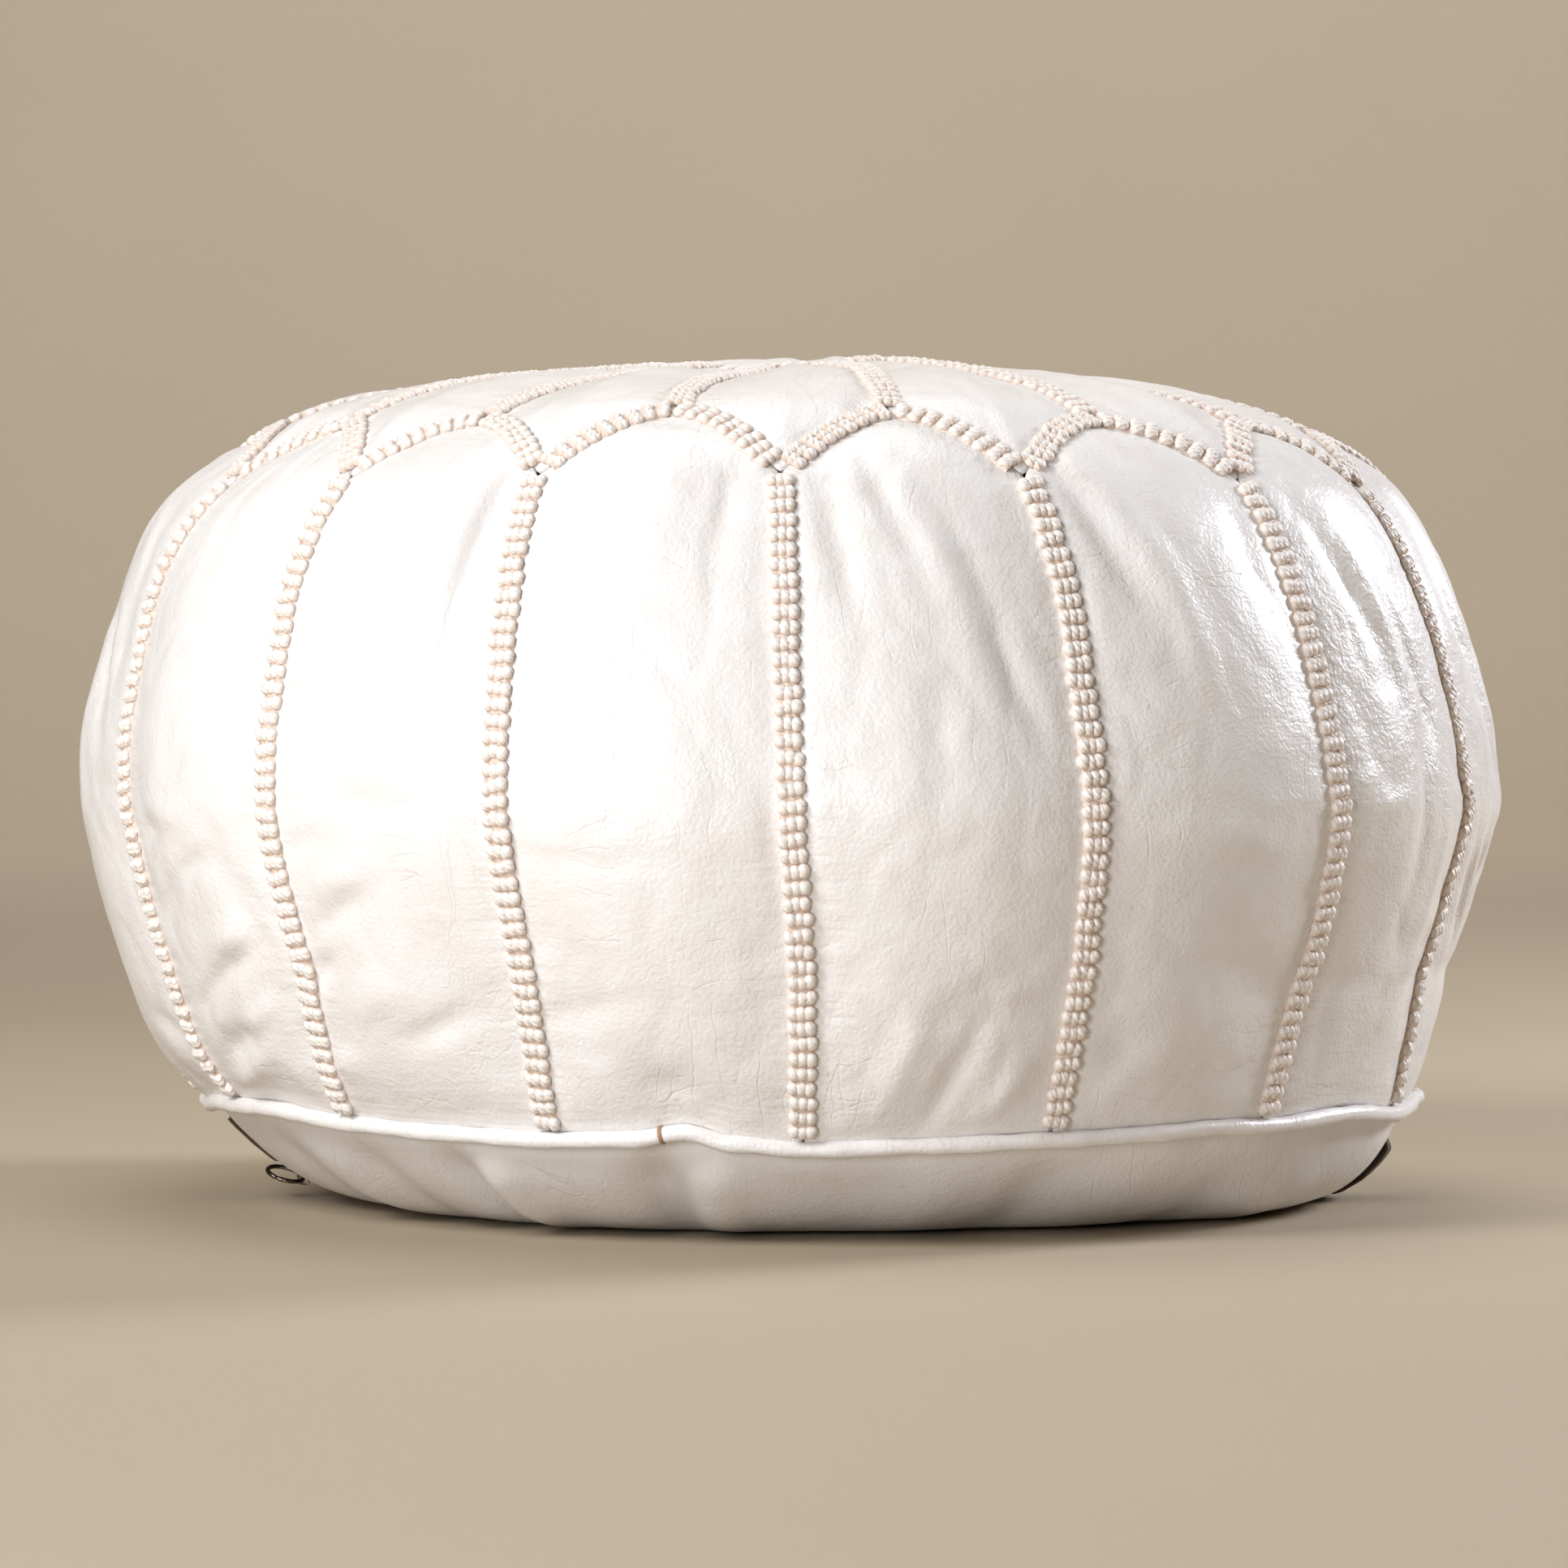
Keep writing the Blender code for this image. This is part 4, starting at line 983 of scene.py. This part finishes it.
def knot_of_thread():
    """One knot: a thread lump with a waist, its bigger end first. Returns points, faces and its
    painted shade.
    """
    clear_selection()
    bpy.ops.mesh.primitive_uv_sphere_add(segments=8, ring_count=7, radius=0.5)
    knot = bpy.context.object
    bpy.ops.object.mode_set(mode="EDIT")
    pick(knot, lambda place: -0.16 < place.z < 0.0)
    bpy.ops.transform.resize(value=(0.84, 0.84, 1.0))
    pick(knot, lambda place: place.z < -0.2)
    bpy.ops.transform.resize(value=(1.05, 1.05, 1.0))
    bpy.ops.transform.translate(value=(0.0, 0.0, 0.02))
    bpy.ops.mesh.select_all(action="SELECT")
    turn = {"orient_axis": "X", "center_override": (0.0, 0.0, 0.0)}
    bpy.ops.transform.rotate(value=math.radians(90), **turn)
    bpy.ops.object.mode_set(mode="OBJECT")
    points = places_of(knot)
    faces = [list(face.vertices) for face in knot.data.polygons]
    bpy.data.objects.remove(knot)
    if points[np.argmax(np.abs(points[:, 1]))][1] < 0:
        points = points * np.array([-1.0, -1.0, 1.0])
    points = points * np.array(KNOT_SIZE)
    # Painted shade: the knot goes tan low down near the leather, at its two ends and over its
    # smaller half.
    low = smoothstep((0.0016 - points[:, 2]) / 0.0022)
    ends = smoothstep((np.abs(points[:, 1]) / STITCH_PITCH - 0.28) / 0.24)
    below = smoothstep((-points[:, 1] / STITCH_PITCH + 0.02) / 0.4) * 0.75
    tuck = np.clip(np.maximum(np.maximum(low * 0.7, ends), below), 0, 1)
    return points, faces, tuck


KNOT_POINTS, KNOT_FACES, KNOT_SHADE = knot_of_thread()

# The bed of thread under the knots, across the seam: share of its half width, and rise
BED_SECTION = ((-1.06, -0.0010), (-0.9, 0.0007), (0.0, 0.0012), (0.9, 0.0007), (1.06, -0.0010))


def braid(name, angle, along, node, seed, trim=(0.0, 0.0)):
    """A row of stitches along a seam, each with its knots side by side across it.

    The seam is given as places on the cover; its stitches' bigger ends look along it.
    """
    points, normals = on_cover(angle, along)
    steps = np.linalg.norm(np.diff(points, axis=0), axis=1)
    reach = np.concatenate([[0.0], np.cumsum(steps)])

    def at(stop, values):
        return np.array([np.interp(stop, reach, values[:, k]) for k in range(3)])

    first, last = trim[0] + STITCH_PITCH / 2, reach[-1] - trim[1] - STITCH_PITCH / 2
    count = max(2, round((last - first) / STITCH_PITCH) + 1)
    chance = np.random.default_rng(seed)
    places, faces, tucks, lies = [], [], [], []
    filled = 0
    for stop in np.linspace(first, last, count):
        here = at(stop, points)
        out = Vector(at(stop, normals)).normalized()
        run = Vector(at(stop + STITCH_AHEAD, points) - at(stop - STITCH_AHEAD, points))
        run = (run - out * run.dot(out)).normalized()
        across = run.cross(out)
        sway = chance.normal(0, 0.00025)
        skew = chance.normal(0, 0.07)
        for row in range(STITCH_ROWS):
            offset = (row - (STITCH_ROWS - 1) / 2) * STITCH_ACROSS + sway
            size = chance.uniform(0.92, 1.08, 3)
            centre = Vector(here) + across * offset + run * chance.normal(0, 0.0002)
            centre = centre + run * skew * offset + out * STITCH_RISE * chance.uniform(0.85, 1.2)
            spin = Matrix.Rotation(chance.normal(0, 0.09), 3, out)
            frame_axes = np.array([spin @ across, spin @ run, out])
            places.append((KNOT_POINTS * size) @ frame_axes + np.array(centre))
            faces.extend([[i + filled for i in face] for face in KNOT_FACES])
            tucks.append(KNOT_SHADE)
            lies.append(KNOT_POINTS + np.array([0.0, 0.0, filled * 0.013]))
            filled += len(KNOT_POINTS)
    spare = 0.4 * STITCH_PITCH
    half = STITCH_ROWS * STITCH_ACROSS / 2
    wide = len(BED_SECTION)
    for k, stop in enumerate(np.arange(first - spare, last + spare, BED_STEP)):
        here, out = at(stop, points), at(stop, normals)
        across = np.cross(at(stop + STITCH_AHEAD, points) - here, out)
        across /= max(np.linalg.norm(across), 1e-9)
        places.append([here + across * half * a + out * b for a, b in BED_SECTION])
        # Painted shade: the bed is wholly in the tan shade tone, as it lies in the shade under the
        # knots.
        tucks.append(np.ones(wide))
        lies.append([(a * half, stop, 0.5) for a, b in BED_SECTION])
        if k:
            for j in range(filled, filled + wide - 1):
                faces.append([j - wide, j, j + 1, j + 1 - wide])
        filled += wide
    piece = mesh_piece(name, np.vstack(places), faces)
    with_values(piece, "tuck", "FLOAT", np.concatenate(tucks))
    with_values(piece, "strand", "FLOAT_VECTOR", np.vstack(lies))
    settle(piece, "cover", THREAD, "braid_thread", node)


def all_braids():
    """Side seams, the two arches that fork from each, the spokes of the crown and its ring."""
    side_along = HIDE_START + SIDE_SEAM_LENGTH * np.linspace(0, 1, 120)
    half_share = np.linspace(-1, 0, 60)
    half_arch = arch_along(half_share)
    spoke_along = np.linspace(float(arch_along(0)), MEDALLION_ALONG, 80)
    for i in range(PANEL_COUNT):
        seam = FIRST_SEAM_ANGLE + i * PANEL_ANGLE
        number = f"{i + 1:02d}"
        trim = (0.0, 0.002)
        name = f"braid_side_seam_{number}"
        braid(name, np.full(120, seam), side_along, "side_seam_braid", 100 + i, trim)
        for side, word in ((1, "right"), (-1, "left")):
            angle = seam + side * (half_share + 1) * PANEL_ANGLE / 2
            name, seed = f"braid_arch_{word}_{number}", 200 + 2 * i + side
            braid(name, angle, half_arch, "side_seam_braid", seed, (0.0045, 0.001))
        spoke = np.full(80, seam + PANEL_ANGLE / 2)
        name = f"braid_crown_spoke_{number}"
        braid(name, spoke, spoke_along, "crown_braid", 300 + i, (0.005, 0.005))
    turns = np.linspace(0, 2 * math.pi, 241)
    braid("braid_crown_ring", turns, np.full(241, MEDALLION_ALONG), "crown_braid", 400)


# ---------------------------------------------------------------- tubes: piping, ring, coils


def tube(name, line, radius, sides, closed=False):
    """A round bar along a line of points, with domed ends, or joined up if it is closed."""
    line = np.asarray(line, float)
    count = len(line)
    if closed:
        run = np.roll(line, -1, 0) - np.roll(line, 1, 0)
    else:
        run = np.gradient(line, axis=0)
    run /= np.linalg.norm(run, axis=1, keepdims=True)
    side = np.cross(run[0], (0.0, 0.0, 1.0))
    if np.linalg.norm(side) < 0.2:
        side = np.cross(run[0], (0.0, 1.0, 0.0))
    radii = np.broadcast_to(np.asarray(radius, float), count)
    turns = 2 * math.pi * np.arange(sides) / sides
    rings = []
    for i in range(count):
        side = side - run[i] * side.dot(run[i])
        side /= np.linalg.norm(side)
        other = np.cross(run[i], side)
        ring = np.cos(turns)[:, None] * side + np.sin(turns)[:, None] * other
        rings.append(line[i] + ring * radii[i])
    points = np.vstack(rings)
    faces = []
    for i in range(count if closed else count - 1):
        n = (i + 1) % count
        for k in range(sides):
            m = (k + 1) % sides
            faces.append([i * sides + k, i * sides + m, n * sides + m, n * sides + k])
    if not closed:
        faces.append(list(range(sides))[::-1])
        faces.append([(count - 1) * sides + k for k in range(sides)])
    return mesh_piece(name, points, faces)


PIPING_JOINT = front_angle(-11.2)
JOINT_GAP = 0.0009
PINCH, PINCH_WIDTH = 0.0022, 0.0009


def piping_pull(angle):
    """How far the piping ring is out of round; its two ends on the zip's line are pinched out."""
    pinched = PINCH * bell(np.abs(np.cos(angle)) - 1, PINCH_WIDTH)
    return body_lumps(angle, np.zeros_like(angle)) + pinched


def piping_line(angle):
    wave = piping_wave(angle)
    radius = PIPING_RADIUS + PIPING_PROUD + 0.0006 * np.sin(9 * angle) + 0.25 * wave
    radius = radius + piping_pull(angle)
    height = PIPING_HEIGHT + wave - 0.0002
    return np.stack([radius * np.cos(angle), radius * np.sin(angle), height], -1)


def leather_piping():
    """The cord rolled in leather between the sides and the base, with its butt joint."""
    gap = JOINT_GAP / PIPING_RADIUS
    angle = np.linspace(PIPING_JOINT + gap / 2, PIPING_JOINT + 2 * math.pi - gap / 2, 900)
    swing = 1 + 0.05 * np.sin(37 * angle) + 0.035 * np.sin(83 * angle + 1.0)
    roll = tube("leather_piping", piping_line(angle), ROLL_RADIUS * 0.97 * swing, 16)
    points = places_of(roll)
    turn = np.arctan2(points[:, 1], points[:, 0])
    hide = np.stack([turn * PIPING_RADIUS, points[:, 2], np.full(len(turn), 17.0)], -1)
    with_values(roll, "hide", "FLOAT_VECTOR", hide)
    with_values(roll, "tuck", "FLOAT", np.full(len(turn), 0.35))
    settle(roll, "cover", LEATHER, "white_leather", "piping_cover")
    cord = tube("cotton_piping_cord", piping_line(angle[::2]), ROLL_RADIUS * 0.55, 10)
    settle(cord, "cover", COTTON, "cotton", "piping_cord")
    end = np.linspace(PIPING_JOINT - gap * 0.7, PIPING_JOINT + gap * 0.7, 5)
    edge = tube("piping_raw_edge", piping_line(end), ROLL_RADIUS * 1.01, 16)
    settle(edge, "cover", RAW_EDGE, "white_leather")


# ---------------------------------------------------------------- base

BASE_FLAT_RADIUS = 0.140
BASE_EDGE = PIPING_RADIUS + PIPING_PROUD - ROLL_RADIUS - 0.0006
BASE_SPAN = BASE_EDGE - BASE_FLAT_RADIUS
BASE_POWER = 2.7
BASE_FULLER_LEFT = 0.2
BASE_FULLER_RIGHT = 3.8
GROOVE_HEIGHT = 0.015918
GROOVE_HALF = 0.018
GROOVE_SLOPE = 0.016
ZIP_HALF = 0.008
TAPE_INNER = 0.0012
TAPE_OUTER = 0.015

# The tape's right tail sags proud of the leather: where that starts, how gently, and how far
TAIL_START = 0.198
TAIL_RAMP = 0.012
TAIL_SAG = 0.0026
TAIL_END = 0.2268
SLOT_CLOSING = (0.2165, 0.2245)
SLOT_CLOSED = 0.0003

# Soft folds where the base leather was gathered on the piping: degrees, width, depth outwards
BASE_FOLDS = (
    (-64, 5.0, -0.0030),
    (-55, 4.0, 0.0022),
    (-46, 3.0, -0.0030),
    (-34.0, 2.2, -0.0085),
    (-29.5, 2.8, 0.0055),
    (-21, 4.5, 0.0016),
    (-12.8, 2.4, -0.0075),
    (-8.0, 3.2, 0.0050),
    (4, 5.0, -0.0014),
    (14, 4.0, 0.0016),
    (24, 3.0, -0.0022),
    (33, 5.0, 0.0016),
    (46, 4.0, -0.0024),
    (58, 4.0, 0.0020),
)


def base_fold(angle):
    """How far the gathers of the base stand out, with quieter ones away from the front."""
    turn = np.degrees(turn_difference(angle, FIRST_SEAM_ANGLE))
    fold = 0.0012 * np.sin(11 * angle + 0.5) + 0.0008 * np.sin(23 * angle)
    fold = fold * smoothstep((np.abs(turn) - 60) / 20)
    for place, width, depth in BASE_FOLDS:
        fold = fold + depth * bell(turn - place, width)
    return fold


def base_fullness(angle):
    """The power of the base's curve: it hangs fuller at the right than at the left."""
    turn = np.degrees(turn_difference(angle, FIRST_SEAM_ANGLE))
    left = smoothstep((-turn - 40) / 40) * (1 - smoothstep((-turn - 120) / 40))
    right = smoothstep((turn - 20) / 60) * (1 - smoothstep((turn - 110) / 50))
    return BASE_POWER + BASE_FULLER_LEFT * left + BASE_FULLER_RIGHT * right


def base_height(x, y):
    radius = np.hypot(x, y)
    angle = np.arctan2(y, x)
    share = np.clip((radius - BASE_FLAT_RADIUS) / BASE_SPAN, 0, 1)
    top = PIPING_HEIGHT - 0.0006 + piping_wave(angle)
    turned = top * share ** base_fullness(angle)
    groove = 1 - smoothstep((np.abs(y) - GROOVE_HALF) / GROOVE_SLOPE)
    groove = groove * (1 - smoothstep((x - TAIL_START) / TAIL_RAMP))
    tuck = TAIL_SAG * smoothstep((x - TAIL_START) / TAIL_RAMP)
    tuck = tuck * (1 - smoothstep((np.abs(y) - TAPE_OUTER) / 0.008))
    return np.maximum(turned, GROOVE_HEIGHT * groove) + tuck


def out_of_round(x, y):
    """Carries a place of the round base to where the piping ring pulls it."""
    radius, angle = np.hypot(x, y), np.arctan2(y, x)
    pull = piping_pull(angle) * smoothstep((radius - BASE_FLAT_RADIUS) / BASE_SPAN)
    return x + np.cos(angle) * pull, y + np.sin(angle) * pull


def slot_half(x):
    """Half the slot that the zip sits in: the two halves of the base are sewn together past it."""
    start, end = SLOT_CLOSING
    closing = smoothstep((np.abs(x) - start) / (end - start))
    return ZIP_HALF + (SLOT_CLOSED - ZIP_HALF) * closing


def leather_base(node, side):
    """Half of the base: flat on the floor, rising to the piping, with its zip edge turned in."""
    columns, rows = 220, 64
    turns = np.linspace(0, math.pi, columns + 1)
    reach = math.sqrt(BASE_EDGE**2 - ZIP_HALF**2)
    x = -reach * np.cos(turns)
    outer = np.sqrt(np.maximum(BASE_EDGE**2 - x**2, ZIP_HALF**2))
    share = np.linspace(0, 1, rows + 1)[:, None]
    slot = slot_half(x)
    y = side * (slot + (outer - slot) * share)
    x = x + 0 * y
    angle = np.arctan2(y, x)
    radius = np.hypot(x, y)
    z = base_height(x, y)
    hang = smoothstep((radius - 0.15) / 0.05) * smoothstep((BASE_EDGE - radius) / 0.02)
    out = base_fold(angle) * hang * smoothstep((np.abs(y) - 0.02) / 0.03)
    out = out - 0.0024 * bell(BASE_EDGE - radius, 0.0032)
    x, y = x + np.cos(angle) * out, y + np.sin(angle) * out
    z = np.maximum(z - 0.35 * out, 0.0)
    z = z - 0.0007 * bell(np.abs(y) - slot, 0.0022)
    x, y = out_of_round(x, y)
    points = np.stack([x, y, z], -1).reshape(-1, 3)
    quads = grid_faces(rows, columns + 1)
    if side > 0:
        quads = quads[:, ::-1]
    piece = mesh_piece(f"leather_{node}", points, quads)
    hide = np.stack([points[:, 0], points[:, 1] + 0.3, np.full(len(points), 20.0 + side)], -1)
    with_values(piece, "hide", "FLOAT_VECTOR", hide)
    tuck = bell(BASE_EDGE - np.hypot(points[:, 0], points[:, 1]), 0.012)
    with_values(piece, "tuck", "FLOAT", tuck * 0.5)
    merged(piece, WELD)
    refined(piece)
    walled(piece, LEATHER_WALL)
    settle(piece, "cover", LEATHER, "white_leather", node)


# ---------------------------------------------------------------- zip

TAPE_END = 0.228
TAIL_FROM = 0.15
TAPE_WALL = 0.0008
TOOTH_PITCH = 0.0015
TOOTH_WIRE = 0.00042


def woven_tape(node, side):
    """Half of the tape, lying on the leather's underside and turning up over the rim."""
    count = 241
    x = TAPE_END * np.sin(np.linspace(-1, 1, count) * math.pi / 2)
    shorter = (TAIL_END - TAIL_FROM) / (TAPE_END - TAIL_FROM)
    x = np.where(x > TAIL_FROM, TAIL_FROM + (x - TAIL_FROM) * shorter, x)
    rows = np.linspace(TAPE_INNER, TAPE_OUTER, 9)[:, None]
    y = side * rows + 0 * x
    x = x + 0 * y
    ripple = 0.0002 * np.sin(900 * x + 3 * side) * (rows - TAPE_INNER) / TAPE_OUTER
    z = base_height(x, y) - 0.0009 - ripple
    sagging = smoothstep((x - TAIL_START) / TAIL_RAMP)
    slope = (base_height(x + 0.0005, y) - base_height(x - 0.0005, y)) / 0.001
    proud = sagging * (TAIL_SAG * 1.15 - 0.006 * smoothstep((x - TAIL_END + 0.003) / 0.003))
    x = x + proud * slope / np.hypot(slope, 1)
    z = np.maximum(z - proud / np.hypot(slope, 1), 0.0003 + TAPE_WALL)
    x, y = out_of_round(x, y)
    points = np.stack([x, y, z], -1).reshape(-1, 3)
    quads = grid_faces(8, count)
    if side > 0:
        quads = quads[:, ::-1]
    piece = mesh_piece(f"woven_{node}", points, quads)
    walled(piece, -TAPE_WALL)
    settle(piece, "cover", TAPE, "brown_tape", node)


def zip_teeth(node):
    """The coil of nylon teeth on a tape's edge: one small turn every 1.5 mm."""
    low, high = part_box(node)
    count = int((high.x - low.x) / TOOTH_PITCH)
    turns = np.linspace(0, count * 2 * math.pi, count * 10 + 1)
    half_y = (high.y - low.y) / 2 - TOOTH_WIRE
    half_z = (high.z - low.z) / 2 - TOOTH_WIRE
    line = np.stack(
        [
            low.x + TOOTH_WIRE + (high.x - low.x - 2 * TOOTH_WIRE) * turns / turns[-1],
            (low.y + high.y) / 2 + half_y * np.cos(turns),
            (low.z + high.z) / 2 + half_z * np.sin(turns),
        ],
        -1,
    )
    settle(tube(f"teeth_{node}", line, TOOTH_WIRE, 5), "cover", TAPE, "brown_tape", node)


def shaped_block(name, low, high, bevel, segments=3):
    """A block added at its place and size and bevelled all round."""
    clear_selection()
    middle = (Vector(low) + Vector(high)) / 2
    bpy.ops.mesh.primitive_cube_add(size=1.0, location=middle, scale=Vector(high) - Vector(low))
    block = bpy.context.object
    block.name = name
    place_in_mesh(block)
    bpy.ops.object.mode_set(mode="EDIT")
    bpy.ops.mesh.select_all(action="SELECT")
    bpy.ops.mesh.bevel(offset=bevel, segments=segments, affect="EDGES")
    bpy.ops.object.mode_set(mode="OBJECT")
    return block


def joined(name, pieces):
    make_active(pieces[0])
    for piece in pieces[1:]:
        piece.select_set(True)
    bpy.ops.object.join()
    whole = bpy.context.object
    whole.name = name
    whole.data.shade_smooth()
    make_active(whole)
    bpy.ops.object.shade_smooth_by_angle(angle=math.radians(40))
    return whole


# The slider's pressed steel
PLATE, PLATE_BEVEL = 0.0014, 0.0005
TAIL_TAPER = 0.72
LIP_WALL, LIP_TOP = 0.0009, 0.0143
POST_HALF = 0.0006
BAIL_WIRE = 0.0005


def slider():
    """Two pressed plates round a post, tapered at the tail, and the bail on the outer one."""
    low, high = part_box("slider_body")
    outer = shaped_block("slider_outer", low, (high.x, high.y, low.z + PLATE), PLATE_BEVEL)
    inner = shaped_block("slider_inner", (low.x, low.y, high.z - PLATE), high, PLATE_BEVEL)
    for piece in (outer, inner):
        make_active(piece)
        bpy.ops.object.mode_set(mode="EDIT")
        pick(piece, lambda place: place.x < low.x + 0.001)
        bpy.ops.transform.resize(value=(1.0, TAIL_TAPER, 1.0))
        bpy.ops.object.mode_set(mode="OBJECT")
    lips = []
    for side in (-1, 1):
        near, far = sorted((side * (high.y - LIP_WALL), side * high.y))
        lip_low, lip_high = (low.x + 0.003, near, low.z + 0.0006), (high.x - 0.0005, far, LIP_TOP)
        lips.append(shaped_block("slider_lip", lip_low, lip_high, 0.0003, 2))
    post_low = (low.x + 0.001, -POST_HALF, low.z + 0.001)
    post_high = (high.x - 0.004, POST_HALF, high.z - 0.001)
    post = shaped_block("slider_post", post_low, post_high, 0.0002, 1)
    body = joined("slider_pressed_body", [outer, inner, *lips, post])
    settle(body, "slider", METAL, "dark_metal", "slider_body")
    bail_low, bail_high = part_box("slider_bail")
    turn = np.linspace(0, math.pi, 25)
    half = (bail_high.x - bail_low.x) / 2 - BAIL_WIRE
    middle = (bail_high.x + bail_low.x) / 2
    drop = bail_high.z - bail_low.z - 2 * BAIL_WIRE
    arch = np.stack(
        [
            middle - half * np.sign(np.cos(turn)) * np.abs(np.cos(turn)) ** 0.55,
            0 * turn,
            bail_high.z - BAIL_WIRE - drop * np.sin(turn) ** 0.6,
        ],
        -1,
    )
    bail = tube("slider_wire_bail", arch, BAIL_WIRE, 10)
    place_in_mesh(bail)
    widen = places_of(bail)
    widen[:, 1] *= (bail_high.y - bail_low.y) / 2 / BAIL_WIRE
    bail.data.vertices.foreach_set("co", widen.ravel())
    settle(bail, "slider", METAL, "dark_metal", "slider_bail")


RING_RADIUS = 0.0071
RING_WIRE = 0.0009
RING_TILT = math.radians(16)
RING_TWIST = math.radians(14)
RING_JOINT = math.radians(250)
RING_JOINT_GAP = 0.00012


def pull_ring():
    """A ring bent from wire, whose ends meet in a fine joint, hung in the bail."""
    hinge = next(joint for joint in frame["joints"] if joint["name"] == "ring_hinge")
    centre = Vector(hinge["pos_m"])
    gap = RING_JOINT_GAP / RING_RADIUS
    turns = np.linspace(RING_JOINT + gap, RING_JOINT + 2 * math.pi - gap, 97)
    ends = np.minimum(np.arange(97), np.arange(97)[::-1])
    radii = RING_WIRE * (0.82 + 0.18 * np.minimum(ends / 2, 1.0))
    line = np.stack([RING_RADIUS * np.cos(turns), RING_RADIUS * np.sin(turns), 0 * turns], -1)
    ring = tube("wire_pull_ring", line, radii, 14)
    twist = Matrix.Rotation(RING_TWIST, 4, "X")
    out = Matrix.Translation((-RING_RADIUS, 0.0, 0.0))
    tilt = Matrix.Rotation(RING_TILT, 4, "Y")
    ring.data.transform(Matrix.Translation(centre) @ tilt @ twist @ out)
    settle(ring, "ring", METAL, "dark_metal", "pull_ring")


# ---------------------------------------------------------------- inner bag and stuffing


def soft_copy(node, name, finish, slot, lump):
    """A softened copy of a CAD solid of the inside, with its facets smoothed and lumpy."""
    source = frame["nodes"][node]
    piece = linked(name, source.data.copy())
    merged(piece, 1e-5)
    refined(piece, 2)
    for vert in piece.data.vertices:
        sink = noise.noise(vert.co * 18) * lump - lump
        vert.co += vert.co.normalized() * sink * min(1.0, max(0.0, (vert.co.z - 0.03) / 0.05))
    piece.data.shade_smooth()
    settle(piece, "cover", finish, slot, node)


# ---------------------------------------------------------------- stage


def softbox(name, shape, place, turn, size, power, colour):
    lamp = bpy.data.lights.new(name, "AREA")
    lamp.shape = shape
    lamp.size = size
    lamp.energy = power
    lamp.color = linear(colour)[:3]
    made = linked(name, lamp)
    made.location = place
    made.rotation_euler = turn


def studio():
    """A pale floor that sweeps up behind, and soft lights."""
    clear_selection()
    bpy.ops.mesh.primitive_plane_add(size=14.0, location=(0.0, 0.0, 0.0))
    floor = bpy.context.object
    floor.name = "studio_floor"
    bpy.ops.object.mode_set(mode="EDIT")
    shape = bmesh.from_edit_mesh(floor.data)
    for edge in shape.edges:
        edge.select = all(vert.co.y > 6.9 for vert in edge.verts)
    bmesh.update_edit_mesh(floor.data)
    bpy.ops.mesh.extrude_region_move(TRANSFORM_OT_translate={"value": (0.0, 0.0, 7.0)})
    bpy.ops.object.mode_set(mode="OBJECT")
    bend = floor.modifiers.new("sweep", "BEVEL")
    bend.width = 2.5
    bend.segments = 12
    apply_modifier(floor, "sweep")
    floor.data.shade_smooth()
    floor.data.materials.append(pale_studio_floor())
    floor.location.z = -0.0004
    place_in_mesh(floor)
    softboxes = (
        ("key_softbox", (-1.9, -1.9, 1.8), 1.3, 72, "#FBFCFF"),
        ("low_softbox", (-0.9, -2.4, 0.34), 0.9, 27, "#F6F8FF"),
        ("crown_softbox", (-0.2, 0.5, 2.7), 1.7, 22, "#FFFFFF"),
        ("right_window", (2.1, 1.0, 1.15), 0.8, 60, "#F2F5FF"),
    )
    for name, place, size, power, colour in softboxes:
        aim = Vector((0.0, 0.0, 0.15)) - Vector(place)
        turn = aim.to_track_quat("-Z", "Y").to_euler()
        softbox(name, "DISK", place, turn, size, power, colour)
    turn = (math.radians(62), 0.0, 0.0)
    softbox("backdrop_wash", "SQUARE", (0.0, 3.6, 4.5), turn, 4.0, 240, "#F3F5FF")
    world = bpy.data.worlds.new("soft_room")
    world.use_nodes = True
    sky = world.node_tree.nodes["Background"]
    sky.inputs["Color"].default_value = linear("#F7F5F2")
    sky.inputs["Strength"].default_value = 0.9
    bpy.context.scene.world = world
    bpy.context.scene.view_settings.view_transform = "Standard"


LENS_MM = 153.6
CAMERA_STAND = (-0.0063, -2.6, 0.219)
CAMERA_ORBIT = math.radians(0.85)
CAMERA_TILT = math.radians(1.29)


def photographer():
    """The camera, low in front of the pouf and a little to its left."""
    lens = bpy.data.cameras.new("camera")
    lens.sensor_width = 36.0
    lens.lens = LENS_MM
    lens.clip_end = 50
    camera = linked("camera", lens)
    camera.location = Matrix.Rotation(CAMERA_ORBIT, 4, "Z") @ Vector(CAMERA_STAND)
    camera.rotation_euler = (math.radians(90) - CAMERA_TILT, 0.0, CAMERA_ORBIT)
    bpy.context.scene.camera = camera


leather_pieces()
leather_medallion()
all_braids()
leather_piping()
for half, way in (("front", -1), ("back", 1)):
    leather_base(f"base_half_{half}", way)
    woven_tape(f"zip_tape_{half}", way)
    zip_teeth(f"zip_coil_{half}")
slider()
pull_ring()
soft_copy("inner_bag", "calico_inner_bag", COTTON, "cotton", 0.0008)
soft_copy("stuffing", "wool_stuffing", WOOL, "filling", 0.0012)
for name in ("zip_stop_left", "zip_stop_right"):
    frame["nodes"][name].data.materials.clear()
    frame["nodes"][name].data.materials.append(METAL)
studio()
photographer()
